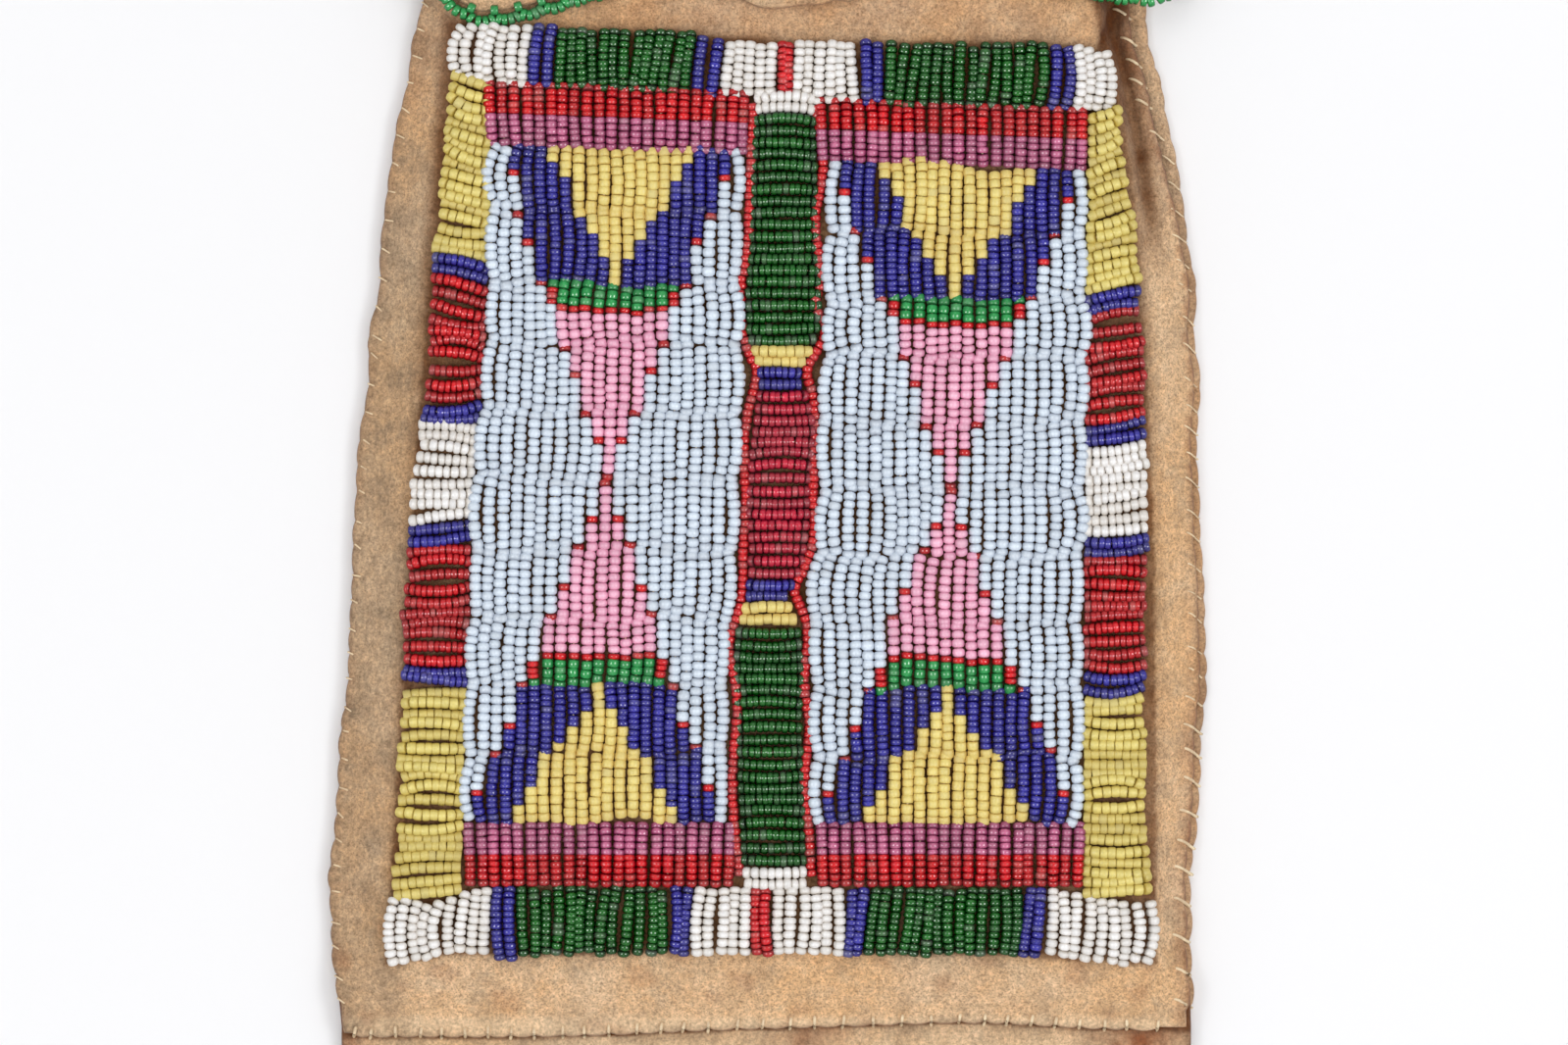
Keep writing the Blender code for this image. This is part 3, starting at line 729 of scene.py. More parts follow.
BEADS_FOOT: Table = ((-65.0, 11.4), (-56.5, 12.8), (-48.0, 13.0), (44.0, 12.8), (56.0, 12.2), (67.0, 11.4))
BEADS_TOP: Table = ((-54.4, 174.0), (-13.0, 172.3), (20.0, 170.7), (48.0, 170.6), (60.0, 169.0))


def bead_area(x: Array, h: Array, margin: float) -> Array:
    """1 inside the beadwork's outline and 0 at margin millimetres from it, eased between.

    Args:
        x, h: places.
        margin: where it ends.

    Returns:
        The share at each place.
    """
    gap = np.maximum.reduce([along(BEADS_LEFT, h) - x, x - along(BEADS_RIGHT, h), along(BEADS_FOOT, x) - h,
                             h - along(BEADS_TOP, x)])
    return 1 - ease(gap / margin)


# Strength of the painted shade beside the beads, by height.
SHADE_BESIDE_BEADS: Table = ((0.0, 0.08), (25.0, 0.14), (60.0, 0.28), (110.0, 0.42), (132.0, 0.7), (150.0, 0.84),
                       (243.0, 0.84))
RIGHT_DASHES: Table = ((0.0, 0.9), (60.0, 0.8), (75.0, 0.35), (100.0, 0.8), (150.0, 1.0), (243.0, 0.9))
RIGHT_RUB: Table = ((0.0, 0.3), (60.0, 0.25), (80.0, 0.1), (145.0, 0.15), (160.0, 0.5), (243.0, 0.5))


@dataclass
class HideSheets:
    """The four hides: front, back, flap and the band under the foot.

    Attributes:
        bag: shape of the bag.
        finishes: materials.
        edge_depth: (height, depth) table of the scallops that the stitches pull into the edges.
        relief, fine_relief, wrinkle: height of the broad and the fine unevenness, and depth of the wrinkles.
        edge_share: share of half the width, at each edge, where the grid is fine.
        fine_foot, fine_top: heights between which the front's rows stand about a millimetre apart.
        flap_shoulder: height where the flap's sides leave its lobes.
        flap_gap: gap between the front and the flap.
        flap_droop, droop_start, droop_run: droop of the flap's sides, where it begins, and its width.
    """

    bag: BagShape
    finishes: Finishes
    edge_depth: Table = ((0.0, 0.8), (45.0, 0.7), (80.0, 0.5), (243.0, 0.45))
    relief: float = 0.16
    fine_relief: float = 0.07
    wrinkle: float = 0.16
    edge_share: float = 0.17
    fine_foot: float = 14.0
    fine_top: float = 182.0
    flap_shoulder: float = 182.7
    flap_gap: float = 0.4
    flap_droop: float = 2.4
    droop_start: float = 50.0
    droop_run: float = 22.0

    def closed(self, name: str, outer: Array, inner: Array, marks: dict[str, Array],
               bulge: float = 0.32, cut: Array | float = 1.0) -> Piece:
        """Close two grids into a sheet with a rounded cut rim.

        The rim is one more loop, midway between the grids' borders and pushed out, square to the
        border, by bulge times the distance between the grids.

        Args:
            name: name of the piece.
            outer: grid of points of the outer face, first index across and second up.
            inner: grid of the inner face.
            marks: numbers over the grid, by attribute name.
            bulge: how far the rim stands out.
            cut: strength of the cut rim's tone, which also paints the shadow in the gap under the rim, for the
                whole grid or for each of its points.

        Returns:
            The piece.
        """
        shape = outer.shape[:2]
        count = math.prod(shape)
        index = np.arange(count).reshape(shape)
        quads = np.stack([index[:-1, :-1], index[1:, :-1], index[1:, 1:], index[:-1, 1:]], axis=-1).reshape(-1, 4)
        loop = np.concatenate([index[:-1, 0], index[-1, :-1], index[:0:-1, -1], index[0, :0:-1]])
        ring = 2 * count + np.arange(len(loop))
        next_loop, next_ring = np.roll(loop, -1), np.roll(ring, -1)
        rim = np.concatenate([np.stack([ring, next_ring, next_loop, loop], axis=-1),
                              np.stack([loop + count, next_loop + count, next_ring, ring], axis=-1)])
        high, low = outer.reshape(-1, 3)[loop], inner.reshape(-1, 3)[loop]
        thick = high - low
        out = unit(np.cross(unit(np.roll(high, -1, axis=0) - np.roll(high, 1, axis=0)), thick))
        middle = (high + low) / 2 + out * np.linalg.norm(thick, axis=1, keepdims=True) * bulge
        over_grid = {key: np.broadcast_to(marks.get(key, 0.0), shape).ravel() for key in HIDE_MARKS}
        values = {key: np.concatenate([v, v, v[loop]]) for key, v in over_grid.items()}
        # Rim tone: the cut edge's own colour with painted shadow in the gap under it; the border loop gets some.
        cut_and_shadow_tone = np.broadcast_to(cut, shape).ravel()[loop]
        border = np.zeros(count)
        border[loop] = 0.3 * cut_and_shadow_tone
        values["rim"] = np.concatenate([border, border, cut_and_shadow_tone])
        points = np.concatenate([outer.reshape(-1, 3), inner.reshape(-1, 3), middle])
        faces = [np.concatenate([quads, quads[:, ::-1] + count, rim])]
        return write_piece(name, points, faces, self.finishes.hide, **values)

    def shares(self, fine: int, middle: Array | int) -> Array:
        """Shares across a sheet from -1 to 1, as a column, close together near both edges.

        Args:
            fine: number of them near each edge.
            middle: the ones between, or the number of even ones, with both ends counted.

        Returns:
            The shares.
        """
        edge = np.linspace(0.0, self.edge_share, fine)
        if isinstance(middle, int):
            middle = np.linspace(self.edge_share - 1, 1 - self.edge_share, middle)[1:-1]
        return np.concatenate([edge - 1, middle, 1 - edge[::-1]])[:, None]

    def edges(self, h: Array, grow: float, inset: float = 0.0) -> tuple[Array, Array]:
        """Left and right edges with their scallops.

        Args:
            h: heights.
            grow: how far they stand out.
            inset: share of the front's inset at the right.

        Returns:
            Both edges.
        """
        bag = self.bag
        pull_left, pull_right = (along(self.edge_depth, h) * (1 - bag.scallop(h, bag.stitches(side)))
                                 for side in (-1, 1))
        wander = 0.25 * ripple(31, h, 0 * h, 14.0)
        drawn = inset * along(bag.front_inset, h)
        return (bag.edge(h, -1) + pull_left - grow + wander,
                bag.edge(h, 1) - pull_right + grow + wander - drawn)

    def front_panel(self) -> Piece:
        """Front hide, from the bottom seam to the mouth, rolled down to its seams.

        Its grid has four columns to every scallop of the bottom seam. Its relief and its wrinkles, where
        a slow noise passes zero, fade under the beads and at the edges.

        Returns:
            The piece.
        """
        bag = self.bag
        knots = np.array(BOTTOM_STITCHES)
        quarter = np.array([0.0, 0.22, 0.5, 0.78])
        middle = bag.across((knots[:-1, None] + np.diff(knots)[:, None] * quarter).ravel(), 0.0)
        share = self.shares(20, middle[np.abs(middle) < 0.825])
        h = np.concatenate([np.linspace(0, self.fine_foot, 18), np.linspace(self.fine_foot, self.fine_top, 182)[1:],
                            np.linspace(self.fine_top, bag.mouth, 10)[1:]])[None, :]
        left, right = self.edges(h, -0.1, 1.0)
        x = left + (right - left) * (share + 1) / 2
        foot = 0.75 * (1 - bag.scallop(x, knots)) * (1 - ease(h / 3))
        up = h + (foot + along(bag.seam_sag, x)) * (1 - ease(h / 9))
        bare = (1 - bead_area(x, up, 4.0)) * ease((1 - np.abs(share)) / 0.05) * ease((h + 0.6) / 4)
        wrinkles = np.exp(-(ripple(8, x * 1.4, up * 0.35, 11.0) / 0.16) ** 2)
        relief = self.relief * ripple(5, x, up, 24.0) + self.fine_relief * ripple(6, x, up, 6.0)
        z = bag.hide_top(x, up) + (relief - self.wrinkle * wrinkles) * bare
        between = ease((bag.scallop(h, bag.stitches(1)) - 0.45) / 0.3)
        # Rim tone, with painted shadow in the gap under the rim: strong along the foot and the mouth, weak on the
        # left, and at the right strongest between the stitches.
        cut = np.where(share > 0.9, 0.15 + 0.6 * between, np.where(share < -0.9, 0.25, 0.7))
        piece = self.closed("front_hide", place_points(x, up, z), place_points(x, up, z - bag.hide),
                            self.front_marks(x, up, x - left, right - x), cut=cut)
        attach(piece, "bag")
        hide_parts("front_panel")
        return piece

    def front_marks(self, x: Array, h: Array, gap_left: Array, gap_right: Array) -> dict[str, Array]:
        """Marks of the front hide, each from 0 to 1.

        Painted shade lies under and beside the beads, in the fold, in the pleat and between them and the right
        seam at the top. Grime greys the left side and other patches. Burnish runs along the right edge,
        strongest in dashes between the stitches. The hide is pale just above the bottom seam.

        Args:
            x, h: places.
            gap_left, gap_right: distances from the two edges.

        Returns:
            The marks by name.
        """
        bag = self.bag
        off, off_pleat = x - along(bag.fold_line, h), x - along(bag.pleat, h)
        # Painted shade: in the fold, the pleat and the valley beside it, beside the beads and under them.
        fold = ease(off / 0.5) * np.exp(-(np.maximum(off - 1.2, 0) / 3.4) ** 2) * ease((h - 160) / 8)
        pleat = np.exp(-((off_pleat - 0.4) / 2.5) ** 2) * ease((h - 126) / 22)
        valley = ease((gap_right - 0.8) / 1.5) * ease((off_pleat + 3.5) / 1.5) * ease((h - 145) / 14)
        beside = along(SHADE_BESIDE_BEADS, h) * (1 - 0.7 * ease((h - 168) / 4) * ease((x + 52) / 4)) * bead_area(x, h, 3.2)
        dark = np.maximum.reduce([0.84 * bead_area(x, h, 0.6), beside, fold, 0.9 * pleat, 0.9 * valley])
        grime = 0.42 * ease((15 - gap_left) / 8) * (1 - 0.7 * ease((h - 140) / 20))
        grime = grime + 0.2 * np.clip(ripple(17, x, h, 9.0), 0, 1.4) + 0.15 * ease((3.5 - gap_left) / 3)
        between = ease((bag.scallop(h, bag.stitches(1)) - 0.55) / 0.3)
        dashes = between * np.exp(-((gap_right - 0.25) / 0.4) ** 2) * along(RIGHT_DASHES, h)
        right = ease((3.0 - gap_right) / 2.4) * along(RIGHT_RUB, h)
        left = 0.15 * ease((1.2 - gap_left) / 1.0)
        spots = 0.3 * np.clip(ripple(23, x, h, 7.0) - 0.9, 0, 1) * ease((30 - h) / 15)
        burnish = np.maximum.reduce([0.9 * dashes, right, left, spots, 0.3 * ease((h - 150) / 22)])
        pale = 0.6 * ease((2.6 - h) / 1.8) * (1 - ease((4 - gap_right) / 3))
        marks = {"dark": dark, "grime": grime, "burnish": burnish, "pale": pale}
        return {key: np.clip(value, 0, 1) for key, value in marks.items()}

    def back_panel(self) -> Piece:
        """Back hide, flat on the table and turned up at the fold, to the flap's seam.

        Each face is a flat length, then a quarter turn.

        Returns:
            The piece.
        """
        bag = self.bag
        share = self.shares(11, 12)
        flat = np.linspace(0.0, bag.fold - bag.fold_radius, 290)
        turn = np.radians(np.linspace(0, 90, 9))[1:]
        h = np.concatenate([flat, np.full(len(turn), flat[-1])])[None, :]
        angle = np.concatenate([np.zeros(len(flat)), turn])[None, :]
        left, right = self.edges(h, 0.15)
        x = left + (right - left) * (share + 1) / 2
        top = bag.hinge_height - bag.touch / 2
        upper = ease((h - 130) / 20)
        bulge = 0.8 * upper * bag.scallop(h, bag.stitches(1)) * np.exp(-((right - x - 1.1) / 1.0) ** 2)
        outer, inner = (
            place_points(x, h + (bag.fold_radius - inset) * np.sin(angle),
                         inset + (top - inset) * (1 - np.cos(angle)) + bulge * np.cos(angle) * (inset > 0))
            for inset in (0.0, bag.hide))
        grime = np.clip(0.2 + 0.2 * ripple(41, x, h, 40.0), 0, 1)
        burnish = np.maximum.reduce([0.2 * ripple(43, x, h, 55.0), 0.5 * ease((0.9 - (x - left)) / 0.7),
                                     0.3 * ease((2.8 - (right - x)) / 1.5) * (1 - 0.7 * upper)])
        # Rim tone, with painted shade along the rim, strongest on the left side.
        piece = self.closed("back_hide", inner, outer, {"grime": grime, "burnish": np.clip(burnish, 0, 1)},
                            0.2, np.where(share < 0, 0.85, 0.3))
        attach(piece, "bag")
        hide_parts("back_panel")
        return piece

    def bottom_band(self) -> Piece:
        """Strip of hide sewn under the foot of the front, its top tucked in between front and back.

        Returns:
            The piece.
        """
        bag = self.bag
        share = self.shares(16, 60)
        h = np.linspace(-bag.band_length, bag.band_tuck, 60)[None, :]
        taper = 1.5 * ease(-h / bag.band_length)
        left = bag.edge(np.maximum(h, 0.0), -1) + 0.6 + taper
        right = bag.edge(np.maximum(h, 0.0), 1) - 0.6 - taper
        x = left + (right - left) * (share + 1) / 2
        base = (bag.hide + bag.touch) * (1 - ease((-2 - h) / 8))
        z = np.maximum(base + ease((-0.5 - h) / 3) * (0.12 + 0.1 * ripple(51, x, h, 16.0)), base)
        spots = np.exp(-((x + 73) / 4) ** 2) + np.exp(-((x - 66) / 9) ** 2) + 0.6 * np.exp(-((x - 8) / 7) ** 2)
        below = h - along(bag.seam_sag, x)
        # The band's painted shade is the shadow under the front's cut foot, just below the seam.
        marks = {"grime": np.clip(0.2 + 0.2 * ripple(57, x, h, 10.0), 0, 1),
                 "burnish": np.clip(spots * (0.8 + 0.2 * ripple(53, x, h, 5.0)), 0, 0.9),
                 "dark": np.clip(0.95 * ease((below + 0.75) / 0.5) + 0.15 * ease((below + 3.0) / 2.5), 0, 1),
                 "pale": 0.3}
        piece = self.closed("bottom_hide", place_points(x, h, z + bag.hide), place_points(x, h, base), marks)
        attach(piece, "bag")
        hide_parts("bottom_band")
        return piece

    def flap_foot(self, x: Array) -> Array:
        """Height of the flap's lobed lower edge at x, eased from lobe to notch.

        Args:
            x: places across.

        Returns:
            The heights.
        """
        places, heights = np.array(FLAP_LOBES).T
        i = np.clip(np.searchsorted(places, x) - 1, 0, len(places) - 2)
        return heights[i] + (heights[i + 1] - heights[i]) * ease((x - places[i]) / (places[i + 1] - places[i]))

    def flap_top(self, x: Array) -> Array:
        """Height over the table of the flap's outer face, which droops at its sides."""
        droop = self.flap_droop * ease((np.abs(x) - self.droop_start) / self.droop_run)
        return self.bag.front_top + self.flap_gap + self.bag.hide - droop

    def flap_side(self, h: Array, side: int) -> Array:
        """Side edge of the flap at height h: straight from its lobe to the bag's edge at the fold.

        Args:
            h: heights.
            side: -1 for the left and 1 for the right.

        Returns:
            The place across.
        """
        low = FLAP_LOBES[0 if side < 0 else -1][0]
        top = self.bag.edge(np.array(self.bag.fold), side)
        share = np.clip((h - self.flap_shoulder) / (self.bag.fold - self.flap_shoulder), 0, 1)
        return low + (top - low) * share

    def flap(self) -> Piece:
        """Flap, sewn to the back hide at the fold and lying over the front.

        Each face is a quarter turn at the fold, then a flat length down to the lobes.

        Returns:
            The piece.
        """
        bag = self.bag
        share = np.linspace(0, 1, 120)[:, None]
        turn = np.radians(np.linspace(0, 90, 7))
        reach = np.concatenate([np.zeros(len(turn)), np.linspace(0, 1, 44)[1:] ** 0.9])[None, :]
        angle = np.concatenate([turn, np.full(43, math.pi / 2)])[None, :]
        base = bag.hinge_height + bag.touch / 2
        start = bag.fold - bag.fold_radius
        low_x = FLAP_LOBES[0][0] + (FLAP_LOBES[-1][0] - FLAP_LOBES[0][0]) * share
        foot = self.flap_foot(low_x) + 0.35 * ripple(61, low_x, 0 * low_x, 5.0) * (share * (1 - share) * 4)
        h = start + (foot - start) * reach
        left, right = self.flap_side(h, -1), self.flap_side(h, 1)
        x = left + (right - left) * share
        wave = 0.14 * np.maximum(ripple(67, x, h, 26.0), -0.6) * ease(reach * 3)
        outer, inner = (
            place_points(x, h + (bag.fold_radius - inset) * np.cos(angle),
                         base + (self.flap_top(x) + wave - inset - base) * np.sin(angle))[:, ::-1]
            for inset in (0.0, bag.hide))
        marks = {"grime": np.clip(0.12 + 0.15 * ripple(71, x, h, 20.0), 0, 1)[:, ::-1],
                 "burnish": np.clip(0.25 * ripple(73, x, h, 30.0), 0, 0.3)[:, ::-1]}
        piece = self.closed("flap_hide", outer, inner, marks, cut=0.5)
        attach(piece, "flap")
        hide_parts("flap")
        return piece

    def build(self) -> None:
        """Make all four hides."""
        for make in (self.back_panel, self.bottom_band, self.front_panel, self.flap):
            piece = make()
            log.info("%s: %d vertices", piece.name, len(piece.data.vertices))


# ---------------------------------------------------------------- beads


@dataclass
class Beads:
    """Beads of one kind of glass, as whole arrays: their places, directions, sizes, dust and light."""

    centre: Array
    axis: Array
    length: Array
    width: Array
    dust: Array
    light: Array


@dataclass
class Strings:
    """Strings of beads, each laid from its start to its end.

    Attributes:
        start, end: (x, h) of the two ends of every string.
        figures: letters and rows of every string, such as N3R1L4.
        bow: how far the middle of each string stands off to its left.
        lift: how far each string stands proud of its neighbours, or lies below them.
        arch: rise of the middle of a string over its ends.
    """

    start: Array
    end: Array
    figures: list[str]
    bow: Array
    lift: Array
    arch: float = 0.7


class Beadwork:
    """Beads and threads of one region, gathered by kind of glass and then made into pieces.

    Attributes:
        rows: number of rows that a whole figure counts.
        single_red: rows that a single red bead takes.
        fill: share of its place along the string that a bead fills.
        seat: height of a string's middle over the hide.
    """

    rows = 8.0
    single_red = 0.75
    fill = 1.01
    seat = 0.9

    def __init__(self, name: str, bag: BagShape, finishes: Finishes, seed: int) -> None:
        """Start a region with no beads.

        Args:
            name: start of the pieces' names.
            bag: shape of the bag.
            finishes: materials.
            seed: number that picks its unevenness.
        """
        self.name = name
        self.bag = bag
        self.finishes = finishes
        self.rng = np.random.default_rng(seed)
        self.held: dict[Glass, list[Beads]] = {}
        self.threads: list[Array] = []

    @staticmethod
    def runs(figure: str) -> list[tuple[Glass, float]]:
        """Kinds of glass in a figure and the rows each takes."""
        letters = [i for i, c in enumerate(figure) if c.isalpha()] + [len(figure)]
        return [(Glass[figure[a]], float(figure[a + 1:b])) for a, b in zip(letters, letters[1:])]

    def string(self, strings: Strings, i: int) -> tuple[Array, Array, list[Glass]]:
        """Divide one string into beads.

        Each run of a colour is filled with whole beads of nearly that glass's usual length.

        Args:
            strings: the strings.
            i: number of the string.

        Returns:
            Place of each bead's middle along the string from 0 to 1, its length, and its glass.
        """
        row = float(np.linalg.norm(strings.end[i] - strings.start[i])) / self.rows
        lengths: list[Array] = []
        kinds: list[Glass] = []
        for kind, rows in self.runs(strings.figures[i]):
            rows = self.single_red if kind is Glass.R and rows == 1 else rows
            count = max(1, round(rows * row / kind.value.length))
            sizes = self.rng.uniform(0.88, 1.12, count)
            lengths.append(sizes / sizes.sum() * rows * row)
            kinds += [kind] * count
        size = np.concatenate(lengths)
        ends = np.cumsum(size)
        return (ends - size / 2) / ends[-1], size, kinds

    def route(self, strings: Strings, i: int, t: Array) -> tuple[Array, Array]:
        """Points of a string and its direction there.

        Across, the string is a straight line plus bow times 4t(1-t) square to it. Its height is the
        hide's, plus half a bead, plus arch times 1-|2t-1|^3, plus its lift.

        Args:
            strings: the strings.
            i: number of the string.
            t: places along it, from 0 to 1.

        Returns:
            The points and the unit directions.
        """
        start, run = strings.start[i], strings.end[i] - strings.start[i]
        left = np.array([-run[1], run[0]]) / np.linalg.norm(run)

        def at(t: Array) -> Array:
            """Points at t.

            Args:
                t: places along the string.

            Returns:
                The points.
            """
            belly = 4 * t * (1 - t)
            x, h = (start + run * t[:, None] + left * (strings.bow[i] * belly)[:, None]).T
            rise = strings.arch * (1 - np.abs(2 * t - 1) ** 3) + strings.lift[i] * ease(belly * 1.4)
            return place_points(x, h, self.bag.front(x, h) + self.seat + rise)

        step = 0.01
        return at(t), unit(at(np.minimum(t + step, 1.0)) - at(np.maximum(t - step, 0.0)))

    def lay(self, strings: Strings) -> None:
        """Lay strings of beads, with their threads.

        Sunk strings and the ends of all are greyed more by the dust film, and get painted shade.

        Args:
            strings: the strings.
        """
        for i, lift in enumerate(strings.lift):
            t, size, kinds = self.string(strings, i)
            centre, axis = self.route(strings, i, t)
            film = np.array([kind.value.film for kind in kinds]) * np.clip(1 - 3.2 * lift, 0.1, 2.2)
            frosted = np.where(self.rng.random(len(t)) < 0.09, self.rng.uniform(0.3, 0.8, len(t)), 0.0)
            edge = ease((np.abs(2 * t - 1) - 0.7) / 0.3)
            dust = film + frosted + 0.22 * edge + self.rng.normal(0, 0.06, len(t))
            # Painted shade: sunk strings and the ends of every string get less painted light.
            light = np.clip(1 + 0.9 * min(lift, 0.0), 0.4, 1) * (1 - 0.35 * edge)
            self.add(centre, axis, size * self.fill, kinds, np.clip(dust, 0, 1), light)
            self.threads.append(self.route(strings, i, np.linspace(0.02, 0.98, 5))[0])

    def add(self, centre: Array, axis: Array, length: Array, kinds: list[Glass], dust: Array,
            light: Array, size: float = 1.0) -> None:
        """Add beads of several kinds, each a little off its place, its line and its usual size.

        Args:
            centre, axis, length: middle, direction and length of every bead.
            kinds: glass of every bead.
            dust: share of dust on every bead.
            light: share of painted light on every bead; less of it paints shade.
            size: factor on the usual width.
        """
        count = len(kinds)
        centre = centre + self.rng.normal(0, 0.04, (count, 3))
        axis = unit(axis + self.rng.normal(0, 0.06, (count, 3)))
        width = np.array([k.value.width for k in kinds]) * self.rng.normal(1.0, 0.03, count) * size
        for kind in dict.fromkeys(kinds):
            pick = np.array([k is kind for k in kinds])
            self.held.setdefault(kind, []).append(
                Beads(*(part[pick] for part in (centre, axis, length, width, dust, light))))

    def build(self, replaces: dict[Glass, tuple[str, ...]], body: str = "bag") -> None:
        """Make one piece for each kind of glass, and one for the threads.

        Args:
            replaces: nodes that each kind stands for.
            body: body that the pieces ride on.
        """
        for kind, batches in self.held.items():
            beads = Beads(*(np.concatenate([getattr(batch, part.name) for batch in batches])
                            for part in fields(Beads)))
            count = len(beads.length)
            form = kind.value.form
            points, core = form.points(beads, self.rng.uniform(0, math.tau, count))
            shade = np.clip(self.rng.normal(0, 0.6, count), -1.6, 1.6)
            shade, dust = (np.repeat(mark, core[0].size) for mark in (shade, beads.dust))
            piece = write_piece(f"{self.name}_{kind.value.slot}_beads", points, form.faces(count),
                                self.finishes.glass[kind], shade=shade, dust=dust, core=core)
            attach(piece, body)
            if replaces.get(kind):
                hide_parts(*replaces[kind])
            log.info("%s: %d beads", piece.name, count)
        if self.threads:
            piece = thread_piece(f"{self.name}_threads", np.stack(self.threads), 0.2, self.finishes.sinew)
            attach(piece, body)


def thread_piece(name: str, routes: Array, radius: Array | float, material: Material, sides: int = 4) -> Piece:
    """Threads as tubes with pointed ends.

    Each ring stands square to its route, and each end has one more point, a radius further on.

    Args:
        name: name of the piece.
        routes: points of every thread, threads x points x 3.
        radius: radius of all threads, or of each.
        material: its finish.
        sides: number of sides.

    Returns:
        The piece.
    """
    count, steps = routes.shape[:2]
    run = unit(np.gradient(routes, axis=1))
    up = np.where(np.abs(run[..., 2:3]) > 0.9, np.array([0.0, 1.0, 0.0]), np.array([0.0, 0.0, 1.0]))
    side = unit(np.cross(run, up))
    ring = rings(side[:, :, None], np.cross(side, run)[:, :, None], np.arange(sides) * 2 * math.pi / sides)
    thick = np.broadcast_to(radius, (count,))[:, None, None]
    body = routes[:, :, None] + ring * thick[..., None]
    tips = routes[:, [0, -1]] + run[:, [0, -1]] * thick * np.array([[-1.0], [1.0]])
    points = np.concatenate([body.reshape(count, -1, 3), tips], axis=1)
    each = steps * sides + 2
    index = np.arange(steps * sides).reshape(steps, sides)
    after = np.roll(index, -1, axis=1)
    quads = np.stack([index[:-1], index[1:], after[1:], after[:-1]], axis=-1).reshape(-1, 4)
    ends = np.concatenate([np.stack([np.full(sides, each - 2), index[0], after[0]], axis=-1),
                           np.stack([np.full(sides, each - 1), after[-1], index[-1]], axis=-1)])
    shift = (np.arange(count) * each)[:, None, None]
    faces = [(quads[None] + shift).reshape(-1, 4), (ends[None] + shift).reshape(-1, 3)]
    return write_piece(name, points, faces, material)


def uneven(rng: np.random.Generator, count: int, depth: float) -> Array:
    """Lift of neighbouring strings: proud and sunk by turns, with a few out of turn.

    Args:
        rng: where the draws come from.
        count: number of strings.
        depth: usual lift.

    Returns:
        The lifts.
    """
    turns = np.where(np.arange(count) % 2 == rng.integers(2), 1.0, -1.0)
    turns = np.where(rng.random(count) < 0.18, -turns, turns)
    return turns * depth * rng.uniform(0.4, 1.3, count)


def measured(runs: Runs) -> tuple[Array, list[str]]:
    """Places and figures of a border's strings, every colour spread evenly between its own ends.

    Args:
        runs: (letter, strings, start, end) of every colour.

    Returns:
        The place and the figure of every string.
    """
    places = [low + (high - low) * (np.arange(n) + 0.5) / n for _, n, low, high in runs]
    return np.concatenate(places), [f"{letter}8" for letter, n, _, _ in runs for _ in range(n)]


